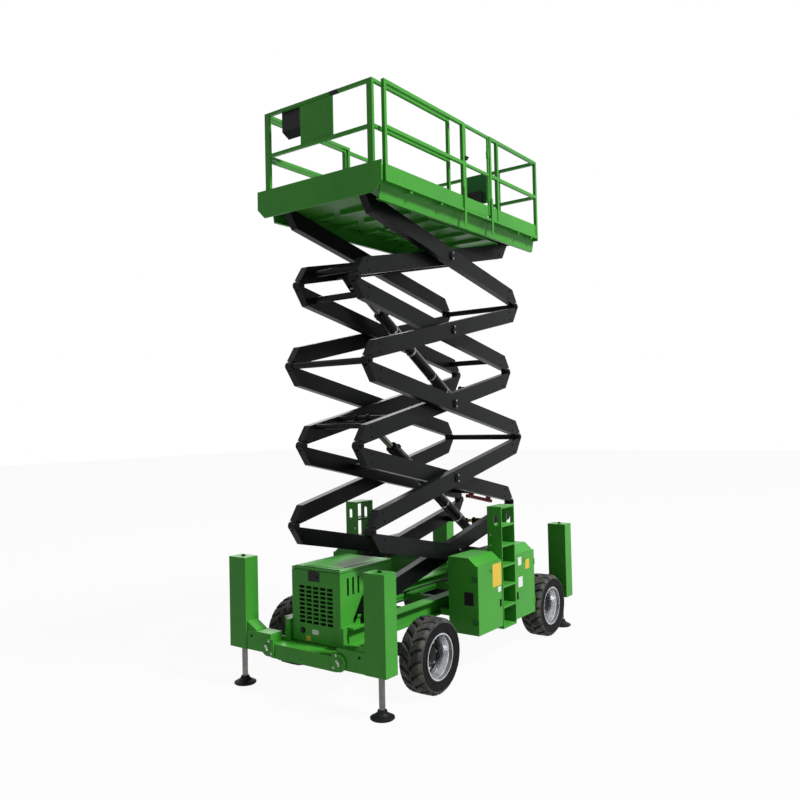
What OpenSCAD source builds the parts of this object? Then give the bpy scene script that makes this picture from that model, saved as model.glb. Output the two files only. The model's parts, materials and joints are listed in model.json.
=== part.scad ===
// Rough-terrain scissor lift with four outriggers, platform part-raised.
// +X points to the engine end, +Y to the machine's left, +Z up, the ground is z = 0.

/* [Wheels] */
// Distance between the axles
wheelbase = 2800; // [2700:10:2900]
// Middle of the wheelbase along the machine
wheel_mid_x = -158; // [-180:1:-130]
// Diameter of a tyre over its lugs
tyre_d = 840; // [800:5:860]
// Width of a tyre
tyre_w = 310; // [280:5:330]
// Width of the machine over its tyres
machine_w = 2320; // [2300:5:2360]
// Diameter of a rim at its bead seats
rim_d = 508; // [490:2:520]
// Depth of the tread's lugs
lug_depth = 26; // [18:1:32]

/* [Chassis] */
// Inner face of a chassis rail from the centre line
rail_y = 370; // [366:1:376]
// Width of a chassis rail
rail_w = 150; // [130:2:150]
// Height of a chassis rail
rail_h = 205; // [180:5:215]
// Thickness of the rail's flanges and web
rail_t = 20; // [14:1:24]
// Height of the rail top above the ground
rail_top = 808; // [800:1:830]
// Distance from the middle to the middle of an outrigger column
leg_x = 2135; // [2120:5:2180]
// Depth of an end beam along the machine
end_beam_w = 180; // [160:2:190]
// Top of the end beams
end_beam_top = 560; // [540:2:575]
// Height of the end beams
end_beam_h = 160; // [140:2:180]

/* [Outriggers] */
// Width of a column along the machine
column_w = 200; // [190:2:230]
// Depth of a column across the machine
column_d = 270; // [250:2:280]
// Outer face of a column from the centre line
column_y = 1150; // [1145:1:1158]
// Top of a column
column_top = 1483; // [1400:5:1550]
// Bottom of a column
column_bottom = 440; // [400:5:460]
// Diameter of a jack rod
jack_d = 66; // [56:1:80]
// Diameter of a jack foot
foot_d = 256; // [220:2:258]
// Thickness of a jack foot at its rim
foot_t = 30; // [20:1:40]

/* [Scissors] */
// Length between the pins of an arm
arm_pitch = 3570; // [3500:5:3600]
// Angle of the line between an arm's pins as the lift stands
lift_angle = 15.4; // [8:0.1:25]
// Depth of an arm beam
beam_h = 200; // [180:2:200]
// Thickness of an arm beam
beam_t = 100; // [96:1:104]
// Inner face of an inner arm from the centre line
inner_y = 380; // [378:1:390]
// Inner face of an outer arm from the centre line
outer_y = 530; // [526:1:545]
// Distance of the front chassis pin from the middle
front_pin_x = 1729; // [1700:1:1740]
// Diameter of a knuckle pin
pin_d = 50; // [40:1:60]
// Diameter of a roller at the sliding ends
roller_d = 110; // [106:1:114]
// Diameter of a cross tube
tube_d = 76; // [60:1:80]

/* [Lift cylinders] */
// Outer diameter of a cylinder barrel
barrel_d = 130; // [110:2:140]
// Diameter of a cylinder rod
rod_d = 80; // [60:2:90]
// Sideways place of the lower cylinder
lower_cyl_y = 0; // [-60:5:60]
// Sideways place of the upper cylinder
upper_cyl_y = -180; // [-220:5:-120]

/* [Engine end] */
// Half width of the engine hood
hood_half_w = 360; // [330:2:362]
// Front face of the hood
hood_front_x = 2000; // [1980:2:2020]
// Rear face of the hood
hood_rear_x = 1070; // [1060:2:1150]
// Top of the hood
hood_top = 1405; // [1350:5:1410]
// Bottom of the hood
hood_bottom = 568; // [564:1:600]
// Thickness of the hood's panels
hood_t = 24; // [18:1:30]

/* [Cabinets and ladders] */
// Front face of a cabinet
cabinet_front_x = 400; // [360:5:440]
// Rear face of a cabinet
cabinet_rear_x = -1060; // [-1080:5:-1000]
// Outer face of a cabinet's doors
cabinet_y = 1140; // [1130:1:1150]
// Depth of a cabinet across the machine
cabinet_d = 420; // [400:5:430]
// Bottom of a cabinet
cabinet_bottom = 445; // [420:5:480]
// Top of a cabinet
cabinet_top = 1360; // [1320:5:1380]
// Top edge of a cabinet's doors, where the roof starts to slope
door_top = 1270; // [1240:5:1300]
// Thickness of the cabinet's panels
panel_t = 25; // [18:1:30]
// Width of a ladder
ladder_w = 340; // [300:5:360]
// Depth of a ladder
ladder_d = 200; // [180:2:205]
// Top of a ladder
ladder_top = 1920; // [1800:10:1950]
// Middle of the left ladder along the machine
left_ladder_x = -360; // [-400:5:-320]
// Middle of the right ladder along the machine
right_ladder_x = -60; // [-100:5:-40]

/* [Platform] */
// Front end of the main deck
deck_front_x = 1740; // [1735:1:1760]
// Rear end of the main deck
deck_rear_x = -1912; // [-1940:2:-1900]
// Half width of the main deck
deck_half_w = 912; // [900:1:918]
// Thickness of the deck plate
deck_t = 12; // [8:1:16]
// Height of the deck's side skirts
skirt_h = 210; // [180:5:220]
// Height of the top rail over the deck
rail_over_deck = 1100; // [1000:10:1150]
// Height of the middle rail over the deck
mid_over_deck = 578; // [520:2:620]
// Height of the toe boards over the deck
toe_over_deck = 165; // [150:5:180]
// Diameter of the guard rail tubes
guard_d = 42; // [36:1:44]
// Front face of the extension's toe plate
ext_front_x = 1872; // [1865:1:1890]
// Rear end of the extension deck
ext_rear_x = 294; // [250:2:350]

/* [Hidden] */
$fn = 64;

green = "#2f8f3c";
dark_green = "#1f5f2c";
charcoal = "#24282a";
black = "#151515";
silver = "#d8dade";
steel = "#9aa0a4";
red = "#9c1c18";

// Clearances
knuckle_r = 8;
knuckle_h = 80;
seat_gap = 0.3;
run_gap = 0.05;
panel_gap = 6;

// Wheels and axles
axle_z = tyre_d / 2;
front_axle_x = wheel_mid_x + wheelbase / 2;
rear_axle_x = wheel_mid_x - wheelbase / 2;
tyre_out_y = machine_w / 2;
tyre_in_y = tyre_out_y - tyre_w;
rim_r = rim_d / 2;
rim_wall = 14;
dish_y = tyre_in_y + 80;
dish_t = 22;
hub_r = 95;
drum_r = 135;
kingpin_y = tyre_in_y - 60;
kingpin_r = 30;
yoke_r = 42;
yoke_gap = 190;
yoke_t = 40;
axle_h = 120;
axle_w = 110;
axle_end_gap = 100;
hanger_r = 95;
hanger_half = 130;
housing_r = 150;
bead_in = 26;
flange_h = 20;
shoulder_w = 48;
lugs = 20;
lug_twist = 12;
shoulder_factor = 0.88;

// Chassis
rail_out_y = rail_y + rail_w;
rail_bottom = rail_top - rail_h;
end_x0 = leg_x - end_beam_w / 2;
end_x1 = leg_x + end_beam_w / 2;
end_beam_bottom = end_beam_top - end_beam_h;
ear_t = 18;
lug_plate_t = 24;
drop_t = 70;
cross_w = 100;
cross_x = [-1930, -1050, -250, 500];
leg_pin_y = 530;
leg_pin_z = end_beam_top - 50;
leg_pin_r = 30;
leg_ear_r = 96;
end_beam_y = leg_pin_y - 45;
track_y1 = outer_y + beam_t / 2 + 40;

// Engine hood
engine_gap = 230;
engine_head = 330;

// Scissors
stages = 5;
stage_h = arm_pitch * sin(lift_angle);
span_x = arm_pitch * cos(lift_angle);
edge_gap = 8;
pin_off = beam_h / 2 + edge_gap;
half_u = sqrt(pow(arm_pitch, 2) - pow(2 * pin_off, 2)) / 2;
beam_angle = lift_angle - asin(2 * pin_off / arm_pitch);
arm_mid_x = front_pin_x - span_x / 2;
pin_r = pin_d / 2;
roller_r = roller_d / 2;
chassis_pin_z = rail_top + seat_gap + roller_r;
ear_r = 50;
lap_r = max(ear_r, roller_r) + 6;
cheek_t = 24;
lap_gap = 2;
end_chamfer = 150;
end_tip = 40;
tip_rise = 20;
inner_y1 = inner_y + beam_t;
outer_y1 = outer_y + beam_t;
centre_r = 32;
collar_r = 48;
cap_r = 42;
cap_t = 14;
tube_r = tube_d / 2;
slim_tube_r = 30;
end_tube_u = half_u - 250;
prop_stub_u = -end_tube_u + 480;
prop_y0 = 190;
hood_free_u = half_u - 910;
top_pin_z = chassis_pin_z + stages * stage_h;

// Lift cylinders: eyes on the lower inner arm and on the one two stages up, in the arms' own axes
base_u = 1300;
lower_base_v = -200;
upper_base_v = -300;
eye_u = -1000;
lower_eye_v = -20;
upper_eye_v = -230;
base_tube_v = -35;
eye_tube_u = eye_u - 110;
lower_eye_tube_v = 67;
upper_eye_tube_v = -65;
eye_tube_r = 32;
cyl_eye_r = 58;
cyl_pin_r = 30;
cyl_eye_w = barrel_d + 20;
lug_t = 20;
lug_gap = 4;
barrel_start = 50;
lower_barrel_len = 2255;
upper_barrel_len = 2200;
gland_len = 60;
rod_lag = 20;

// Platform
deck_bottom = top_pin_z + roller_r + seat_gap;
deck_z = deck_bottom + deck_t;
guard_r = guard_d / 2;
rail_top_z = deck_z + rail_over_deck - guard_r;
rail_mid_z = deck_z + mid_over_deck;
toe_z = deck_z + toe_over_deck;
main_rail_y = deck_half_w - guard_r - 2;
toe_t = 8;
ext_half_w = deck_half_w - 78;
ext_floor_t = 20;
toe_under_deck = 165;
ext_rail_r = guard_r - 2;
ext_plate_t = 20;
skirt_in = 70;
skirt_lean = 34;
skirt_t = 14;
ledge_t = 30;
tab_x = [1250, 620, -1330, -1720];
ext_floor_z = deck_z + seat_gap;
fold_post_x = -760;
gate_front_x = 106;
gate_rear_x = -571;
gate_hinge_x = gate_rear_x + 2 * guard_r + 1;

// Mirrors a shape to the other side of the machine
module both_sides() {
    children();
    mirror([0, 1, 0]) children();
}

// Mirrors a shape to the other end of the machine
module both_ends() {
    children();
    mirror([1, 0, 0]) children();
}

// Box between two corners
module block(x0, x1, y0, y1, z0, z1) {
    translate([x0, y0, z0]) cube([x1 - x0, y1 - y0, z1 - z0]);
}

// Extrudes an outline drawn in x and z from y0 to y1
module along_y(y0, y1) {
    translate([0, y1, 0]) rotate([90, 0, 0]) linear_extrude(y1 - y0) children();
}

// Extrudes an outline drawn in y and z from x0 to x1
module along_x(x0, x1) {
    translate([x0, 0, 0]) rotate([90, 0, 90]) linear_extrude(x1 - x0) children();
}

// Round bar along y
module rod_y(r, y0, y1) {
    translate([0, y0, 0]) rotate([-90, 0, 0]) cylinder(r = r, h = y1 - y0);
}

// Round bar along x
module rod_x(r, x0, x1) {
    translate([x0, 0, 0]) rotate([0, 90, 0]) cylinder(r = r, h = x1 - x0);
}

// Flat link with a round at each end, from the origin to a point at distance len along x
module link_outline(r0, r1, len) {
    circle(r = r0);
    translate([len, 0]) circle(r = r1);
    polygon([[0, -r0], [len, -r1], [len, r1], [0, r0]]);
}

// Wheels

// Points round a tyre at z: lugs on a round body, drawn in by a factor and turned by an angle
function tread_ring(z, factor, turn) = [
    for (i = [0 : lugs - 1], c = [[-0.36, lug_depth], [-0.28, 0], [0.28, 0], [0.36, lug_depth]])
        let (a = (i + c[0]) * 360 / lugs + turn, r = factor * (tyre_d / 2 - c[1]))
            [r * sin(a), r * cos(a), z]];

// As many points on a plain circle of radius r at z
function plain_ring(z, r, turn) = [
    for (i = [0 : 4 * lugs - 1])
        let (a = (i - 1.5) * 90 / lugs + turn) [r * sin(a), r * cos(a), z]];

// Tyre round the y axis, at the left side: rings of points from bead to bead
module tyre_shape() {
    half = tyre_w / 2;
    crown = half - shoulder_w;
    seat = half - bead_in;
    seat_r = rim_r + flange_h + 6;
    turn = lug_twist + 2;
    n = 4 * lugs;
    rings = [
        plain_ring(-seat, rim_r, turn),
        plain_ring(-seat, seat_r, turn),
        tread_ring(-half, shoulder_factor, turn),
        tread_ring(-crown, 1, lug_twist),
        tread_ring(0, 1, 0),
        tread_ring(crown, 1, lug_twist),
        tread_ring(half, shoulder_factor, turn),
        plain_ring(seat, seat_r, turn),
        plain_ring(seat, rim_r, turn)];
    translate([0, tyre_in_y + half, 0]) rotate([-90, 0, 0]) polyhedron(
        points = [for (ring = rings, place = ring) place],
        faces = [
            for (j = [0 : len(rings) - 1], i = [0 : n - 1], upper = [true, false])
                let (a = j * n, b = (j + 1) % len(rings) * n, k = (i + 1) % n)
                    upper ? [a + k, b + k, b + i] : [a + k, b + i, a + i]]);
}

// Deep-dish rim round the y axis, at the left side
module rim_shape() {
    dish0 = dish_y - tyre_in_y;
    lip = 12;
    wall_r = rim_r - rim_wall;
    flange_r = rim_r + flange_h;
    far = tyre_w - bead_in;
    face = dish0 + dish_t;
    translate([0, tyre_in_y, 0]) rotate([-90, 0, 0]) rotate_extrude() polygon([
        [0, dish0], [wall_r - 40, dish0], [wall_r, dish0 - 30],
        [wall_r, bead_in - lip], [flange_r, bead_in - lip],
        [flange_r, bead_in - seat_gap], [rim_r - seat_gap, bead_in], [rim_r - seat_gap, far],
        [flange_r, far + seat_gap], [flange_r, far + lip], [wall_r, far + lip],
        [wall_r, face], [wall_r - 40, face + 14],
        [hub_r + 20, face + 14], [hub_r, face + 60], [hub_r - 15, face + 75], [0, face + 75]]);
}

// Puts a left wheel's shape at a wheel's place
module at_wheel(x, side) {
    translate([x, 0, axle_z]) mirror([0, side < 0 ? 1 : 0, 0]) children();
}

module tyre_fl() color(black) at_wheel(front_axle_x, 1) tyre_shape();
module tyre_fr() color(black) at_wheel(front_axle_x, -1) tyre_shape();
module tyre_rl() color(black) at_wheel(rear_axle_x, 1) tyre_shape();
module tyre_rr() color(black) at_wheel(rear_axle_x, -1) tyre_shape();
module rim_fl() color(silver) at_wheel(front_axle_x, 1) rim_shape();
module rim_fr() color(silver) at_wheel(front_axle_x, -1) rim_shape();
module rim_rl() color(silver) at_wheel(rear_axle_x, 1) rim_shape();
module rim_rr() color(silver) at_wheel(rear_axle_x, -1) rim_shape();

// Steering knuckle at the left side: kingpin, barrel, spindle and brake drum
module knuckle_shape() {
    pin_h = yoke_gap + 2 * yoke_t;
    translate([0, kingpin_y, -pin_h / 2]) cylinder(r = kingpin_r, h = pin_h);
    barrel_h = yoke_gap - 4;
    translate([0, kingpin_y, -barrel_h / 2]) cylinder(r = 50, h = barrel_h);
    rod_y(62, kingpin_y, dish_y - seat_gap);
    rod_y(drum_r, tyre_in_y + 14, dish_y - seat_gap);
}

module knuckle_fl() color(charcoal) at_wheel(front_axle_x, 1) knuckle_shape();
module knuckle_fr() color(charcoal) at_wheel(front_axle_x, -1) knuckle_shape();

// Steered front axle: beam, two yokes and the block it hangs on
module axle_front() color(charcoal) translate([front_axle_x, 0, axle_z]) {
    half = kingpin_y - axle_end_gap;
    block(-axle_w / 2, axle_w / 2, -half, half, -axle_h / 2, axle_h / 2);
    rod_y(hanger_r, -hanger_half, hanger_half);
    both_sides() difference() {
        union() {
            block(-55, 55, kingpin_y - 110, kingpin_y - 70, -yoke_gap / 2 - yoke_t, yoke_gap / 2 + yoke_t);
            for (z = [-yoke_gap / 2 - yoke_t, yoke_gap / 2]) {
                block(-yoke_r, yoke_r, kingpin_y - 80, kingpin_y, z, z + yoke_t);
                translate([0, kingpin_y, z]) cylinder(r = yoke_r, h = yoke_t);
            }
        }
        translate([0, kingpin_y, -yoke_gap]) cylinder(r = kingpin_r + run_gap, h = 2 * yoke_gap);
    }
}

// Fixed rear axle: beam, centre housing and brake drums
module axle_rear() color(charcoal) translate([rear_axle_x, 0, axle_z]) {
    block(-axle_w / 2, axle_w / 2, -tyre_in_y, tyre_in_y, -axle_h / 2, axle_h / 2);
    rod_y(housing_r, -hanger_half, hanger_half);
    both_sides() {
        rod_y(drum_r, tyre_in_y + 14, dish_y - seat_gap);
        rod_y(62, tyre_in_y - 40, tyre_in_y + 20);
    }
}

// Chassis

// Cross section of the left rail, flanges top and bottom on a web
module rail_section() {
    web_y = rail_y + rail_w / 2 - rail_t / 2;
    translate([rail_y, rail_top - rail_t]) square([rail_w, rail_t]);
    translate([rail_y, rail_bottom]) square([rail_w, rail_t]);
    translate([web_y, rail_bottom]) square([rail_t, rail_h]);
}

// Plate with a round top that carries a pin, standing on base_z; drawn round the pin
module pin_plate(y0, y1, base_drop, foot_half) {
    along_y(y0, y1) difference() {
        union() {
            circle(r = ear_r - 5);
            polygon([[-ear_r + 5, 0], [-foot_half, -base_drop], [foot_half, -base_drop], [ear_r - 5, 0]]);
        }
        circle(r = pin_r + run_gap);
    }
}

// One end of the chassis: end beam and the two drop plates that join it to the rails
module chassis_end() {
    drop_y1 = leg_pin_y - leg_ear_r - seat_gap;
    block(end_x0, end_x1, -end_beam_y, end_beam_y, end_beam_bottom, end_beam_top);
    both_sides() block(end_x0 - drop_t, end_x0 - seat_gap, rail_y, drop_y1, end_beam_bottom, rail_top);
}

module chassis_ends() color(green) both_ends() chassis_end();

// Ear plate round an outrigger's pin, with its root at root_y
module leg_ear(x0, x1, root_y) {
    along_x(x0, x1) difference() {
        union() {
            translate([leg_pin_y, leg_pin_z]) circle(r = leg_ear_r);
            translate([root_y, leg_pin_z - leg_ear_r]) square([leg_pin_y - root_y, 2 * leg_ear_r]);
        }
        translate([leg_pin_y, leg_pin_z]) circle(r = leg_pin_r + run_gap);
    }
}

// Tie-down lug behind the end beam, its eye just below
module tie_lug() {
    mid_y = 250;
    half = 45;
    eye_z = end_beam_bottom - 32;
    along_x(end_x0 - lug_plate_t, end_x0 - seat_gap) difference() {
        union() {
            translate([mid_y - half, eye_z]) square([2 * half, end_beam_bottom + 100 - eye_z]);
            translate([mid_y, eye_z]) circle(r = half);
        }
        translate([mid_y, eye_z]) circle(r = 22);
    }
}

module chassis_ears() color(green) both_ends() both_sides() {
    leg_ear(end_x0 - ear_t, end_x0 - seat_gap, leg_pin_y - leg_ear_r);
    leg_ear(end_x1 + seat_gap, end_x1 + ear_t, leg_pin_y - leg_ear_r);
    tie_lug();
}

// Left rail with its roller track, the front pivot plate and two arms for the cabinet
module rail_shape() {
    track_x0 = front_pin_x - arm_pitch - 20;
    track_x1 = front_pin_x - arm_pitch * 0.45;
    fork_mid = inner_y + beam_t / 2;
    plate_half = beam_t / 2 - cheek_t - lap_gap;
    rail_end = end_x0 - drop_t - seat_gap;
    along_x(-rail_end, rail_end) rail_section();
    block(track_x0, track_x1, rail_out_y - 10, track_y1, rail_top - 28, rail_top);
    for (x = [track_x0 + 60 : (track_x1 - track_x0 - 140) / 3 : track_x1]) {
        block(x, x + 20, rail_out_y - 10, track_y1 - 20, rail_bottom + 30, rail_top - 20);
    }
    translate([front_pin_x, 0, chassis_pin_z])
        pin_plate(fork_mid - plate_half, fork_mid + plate_half, chassis_pin_z - rail_top + 5, 110);
    for (x = [cabinet_rear_x + 120, cabinet_front_x - 200]) {
        block(x, x + 80, rail_out_y - 20, cabinet_y - cabinet_d - seat_gap, rail_bottom, rail_bottom + 80);
    }
}

module chassis_rails() color(green) both_sides() rail_shape();

// Cross members between the rails, the hood's floor on its hangers, and the axle seats
module chassis_cross() color(green) {
    half = rail_y - seat_gap;
    cross_h = 90;
    floor_t = 36;
    floor_x1 = end_x0 - seat_gap;
    for (x = cross_x) block(x, x + cross_w, -half, half, rail_bottom, rail_bottom + cross_h);
    block(hood_rear_x, floor_x1, -half, half, hood_bottom - floor_t, hood_bottom - seat_gap);
    both_sides()
        block(hood_rear_x + 250, hood_front_x - hood_t, hood_half_w + seat_gap, half,
              hood_bottom - floor_t, rail_bottom + cross_h);
    block(front_axle_x - 60, front_axle_x + 60, -90, 90,
          axle_z + hanger_r + seat_gap, hood_bottom - floor_t + 5);
    both_sides() block(rear_axle_x - 60, rear_axle_x + 60, rail_y + 20, rail_out_y - 20,
                       axle_z + axle_h / 2 + seat_gap, rail_bottom - seat_gap);
}

// Outriggers

// One leg at the front left: column with its bore, arm, gussets and pin
module leg_shape() {
    y0 = column_y - column_d;
    mid_y = column_y - column_d / 2;
    arm_top = column_bottom + 220;
    difference() {
        union() {
            block(leg_x - column_w / 2, leg_x + column_w / 2, y0, column_y, column_bottom, column_top);
            block(end_x0 + seat_gap, end_x1 - seat_gap, leg_pin_y - 40, y0 + 10, leg_pin_z - 70, arm_top);
            along_x(end_x0 + 10, end_x1 - 10)
                polygon([[y0 + 5, arm_top - 10], [y0 - 150, arm_top - 10],
                         [y0 - 150, arm_top + 10], [y0 + 5, arm_top + 100]]);
            translate([0, leg_pin_y, leg_pin_z]) {
                rod_x(leg_pin_r, end_x0 - ear_t - 8, end_x1 + ear_t + 8);
                rod_x(leg_pin_r + 14, end_x1 + ear_t + seat_gap, end_x1 + ear_t + 10);
            }
        }
        translate([leg_x, mid_y, column_bottom - 5])
            cylinder(d = jack_d + 2 * run_gap, h = column_top - column_bottom - 15);
    }
}

module outrigger_legs() color(green) both_ends() both_sides() leg_shape();

// Jack rod at the front left
module jack_rod_shape() {
    translate([leg_x, column_y - column_d / 2, foot_t + seat_gap])
        cylinder(d = jack_d, h = column_top - 370 - foot_t);
}

// Cone-shaped foot at the front left
module jack_foot_shape() {
    r = foot_d / 2;
    neck_r = jack_d / 2 + 14;
    top = foot_t + 62;
    translate([leg_x, column_y - column_d / 2, 0]) rotate_extrude() polygon([
        [0, 0], [r - 10, 0], [r, 8], [r, foot_t - 8], [r - 14, foot_t],
        [neck_r + 34, foot_t + 16], [neck_r + 8, foot_t + 38],
        [neck_r, top], [jack_d / 2 + seat_gap, top], [jack_d / 2 + seat_gap, foot_t], [0, foot_t]]);
}

module jack_rod_fl() color(steel) jack_rod_shape();
module jack_rod_fr() color(steel) mirror([0, 1, 0]) jack_rod_shape();
module jack_rod_rl() color(steel) mirror([1, 0, 0]) jack_rod_shape();
module jack_rod_rr() color(steel) mirror([1, 0, 0]) mirror([0, 1, 0]) jack_rod_shape();
module jack_foot_fl() color(black) jack_foot_shape();
module jack_foot_fr() color(black) mirror([0, 1, 0]) jack_foot_shape();
module jack_foot_rl() color(black) mirror([1, 0, 0]) jack_foot_shape();
module jack_foot_rr() color(black) mirror([1, 0, 0]) mirror([0, 1, 0]) jack_foot_shape();

// Engine end

// Side outline of the hood, cut away at its lower rear
module hood_outline() {
    lid_z = hood_top - hood_t;
    polygon([[hood_rear_x, hood_bottom + 260], [hood_rear_x + 230, hood_bottom],
             [hood_front_x - hood_t, hood_bottom],
             [hood_front_x - hood_t, lid_z], [hood_rear_x, lid_z]]);
}

module engine_hood() color(green) difference() {
    along_y(-hood_half_w, hood_half_w) hood_outline();
    block(hood_rear_x + hood_t, hood_front_x + 10, -hood_half_w + hood_t, hood_half_w - hood_t,
          hood_bottom - 10, hood_top + 10);
    for (i = [0 : 2]) {
        x = hood_front_x - 330 + i * 90;
        block(x, x + 34, -hood_half_w - 10, hood_half_w + 10, hood_top - 290, hood_top - 95);
    }
}

module engine_block() color(charcoal)
    block(hood_rear_x + engine_gap, hood_front_x - engine_gap, -hood_half_w + 110, hood_half_w - 110,
          hood_bottom, hood_top - engine_head);

// Lid with two hinge knuckles on its rear edge
module hood_lid() color(green) {
    difference() {
        block(hood_rear_x, hood_front_x, -hood_half_w, hood_half_w, hood_top - hood_t + seat_gap, hood_top);
        block(hood_front_x - 60, hood_front_x + 5, -40, 40, hood_top - 12, hood_top + 5);
    }
    both_sides() translate([hood_rear_x, 0, hood_top])
        rod_y(knuckle_r - 1, hood_half_w - 30 - knuckle_h, hood_half_w - 30);
}

// Grille door with five columns of nine slots
module hood_door() color(green) {
    cols = 5;
    rows = 9;
    x0 = hood_front_x - hood_t + seat_gap;
    z0 = hood_bottom + panel_gap;
    z1 = hood_top - hood_t - panel_gap;
    slot_w = 84;
    slot_h = 32;
    pitch_y = 104;
    pitch_z = 48;
    difference() {
        block(x0, hood_front_x, -hood_half_w, hood_half_w, z0, z1);
        for (c = [0 : cols - 1], r = [0 : rows - 1]) {
            y = (c - (cols - 1) / 2) * pitch_y;
            z = z1 - 190 - r * pitch_z;
            block(x0 - 5, hood_front_x + 5, y - slot_w / 2, y + slot_w / 2, z - slot_h / 2, z + slot_h / 2);
        }
    }
    for (z = [rail_top + 90, z1 - 190])
        translate([hood_front_x, hood_half_w, z]) cylinder(r = knuckle_r, h = knuckle_h);
}

// Cabinets and ladders

// Cross section of the left cabinet, roof sloped to the outside
module cabinet_section(grow) {
    y0 = cabinet_y - cabinet_d;
    polygon([[y0 - grow, cabinet_bottom - grow], [cabinet_y - panel_t + grow, cabinet_bottom - grow],
             [cabinet_y - panel_t + grow, door_top + grow], [cabinet_y - 130, cabinet_top + grow],
             [y0 - grow, cabinet_top + grow]]);
}

// Cabinet at the left with a niche for a ladder whose middle is at lx
module cabinet_shape(lx) {
    niche0 = lx - ladder_w / 2 - panel_gap;
    niche1 = lx + ladder_w / 2 + panel_gap;
    niche_y = cabinet_y - ladder_d;
    difference() {
        along_x(cabinet_rear_x, cabinet_front_x) cabinet_section(0);
        along_x(cabinet_rear_x + panel_t, niche0 - panel_t) cabinet_section(-panel_t);
        along_x(niche1 + panel_t, cabinet_front_x - panel_t) cabinet_section(-panel_t);
        for (x = [[cabinet_rear_x + panel_t, niche0 - panel_t],
                  [niche1 + panel_t, cabinet_front_x - panel_t]])
            block(x[0], x[1], cabinet_y - 70, cabinet_y, cabinet_bottom + panel_t, door_top);
        block(niche0, niche1, niche_y, cabinet_y + 10, cabinet_bottom - 10, cabinet_top + 10);
        block(cabinet_front_x - panel_t - 5, cabinet_front_x + 5, cabinet_y - 190, cabinet_y - 75,
              cabinet_bottom + 355, cabinet_bottom + 500);
    }
}

module cabinets() color(green) {
    cabinet_shape(left_ladder_x);
    mirror([0, 1, 0]) cabinet_shape(right_ladder_x);
}

// Door panel over one compartment, between x0 and x1
module door_shape(x0, x1) {
    y0 = cabinet_y - panel_t + seat_gap;
    difference() {
        block(x0, x1, y0, cabinet_y, cabinet_bottom, door_top);
        block((x0 + x1) / 2 - 45, (x0 + x1) / 2 + 45, cabinet_y - 8, cabinet_y + 5,
              door_top - 130, door_top - 90);
    }
}

// Two hinge knuckles on a door's outer edge at x
module door_knuckles(x) {
    for (z = [cabinet_bottom + 120, door_top - 200])
        translate([x, cabinet_y, z]) cylinder(r = knuckle_r, h = knuckle_h);
}

module front_door(lx) {
    door_shape(lx + ladder_w / 2 + panel_gap, cabinet_front_x);
    door_knuckles(cabinet_front_x);
}

module rear_door(lx) {
    door_shape(cabinet_rear_x, lx - ladder_w / 2 - panel_gap);
    door_knuckles(cabinet_rear_x);
}

module door_left_front() color(green) front_door(left_ladder_x);
module door_left_rear() color(green) rear_door(left_ladder_x);
module door_right_front() color(green) mirror([0, 1, 0]) front_door(right_ladder_x);
module door_right_rear() color(green) mirror([0, 1, 0]) rear_door(right_ladder_x);

// Ladder at the left: two side plates with oblong hand holes, and steps
module ladder_shape(lx) {
    side_t = 14;
    step_t = 24;
    bottom = 400;
    y0 = cabinet_y - ladder_d + seat_gap;
    y1 = cabinet_y + 5;
    steps = 6;
    pitch = (ladder_top - bottom) / steps;
    hole_r = 28;
    hole_z = ladder_top - 170;
    hole_mid = (y0 + y1) / 2 + 20;
    difference() {
        union() {
            for (x = [lx - ladder_w / 2, lx + ladder_w / 2 - side_t])
                block(x, x + side_t, y0, y1, bottom, ladder_top);
            for (i = [0 : steps]) {
                z = bottom + i * pitch - (i == steps ? step_t : 0);
                block(lx - ladder_w / 2 + 5, lx + ladder_w / 2 - 5, y0, y1, z, z + step_t);
            }
        }
        along_x(lx - ladder_w, lx + ladder_w) {
            translate([hole_mid, hole_z - 45]) circle(r = hole_r);
            translate([hole_mid, hole_z + 45]) circle(r = hole_r);
            translate([hole_mid - hole_r, hole_z - 45]) square([2 * hole_r, 90]);
        }
    }
}

module ladders() color(green) {
    ladder_shape(left_ladder_x);
    mirror([0, 1, 0]) ladder_shape(right_ladder_x);
}

// Scissor arms, drawn along x with the lower pin at the negative end

// Moves to the pin at the upper (1) or lower (-1) end
module at_pin(end) {
    translate([end * half_u, 0, end * pin_off]) children();
}

// Side outline of a beam: chamfered ends and a round ear at each pin
module beam_outline() {
    h = beam_h / 2;
    u = half_u;
    polygon([[-u, -h], [u - end_chamfer, -h], [u + end_tip, h - tip_rise], [u, h],
             [-u + end_chamfer, h], [-u - end_tip, -h + tip_rise]]);
    for (s = [-1, 1]) translate([s * u, s * pin_off]) circle(r = ear_r);
}

// Slot in a fork
module fork_slot(y0) {
    rod_y(lap_r, y0 + cheek_t, y0 + beam_t - cheek_t);
}

// What is cut off beside a tongue
module tongue_cuts(y0) {
    rod_y(lap_r, y0 - 5, y0 + cheek_t + lap_gap);
    rod_y(lap_r, y0 + beam_t - cheek_t - lap_gap, y0 + beam_t + 5);
}

// Pin through a fork, with its head on the outer face
module fork_pin(y0) {
    rod_y(pin_r, y0 + 2, y0 + beam_t + 4);
    rod_y(pin_r + 9, y0 + beam_t - 2, y0 + beam_t + 9);
}

// Roller in a fork
module fork_roller(y0) {
    rod_y(roller_r, y0 + cheek_t + 3, y0 + beam_t - cheek_t - 3);
}

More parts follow.
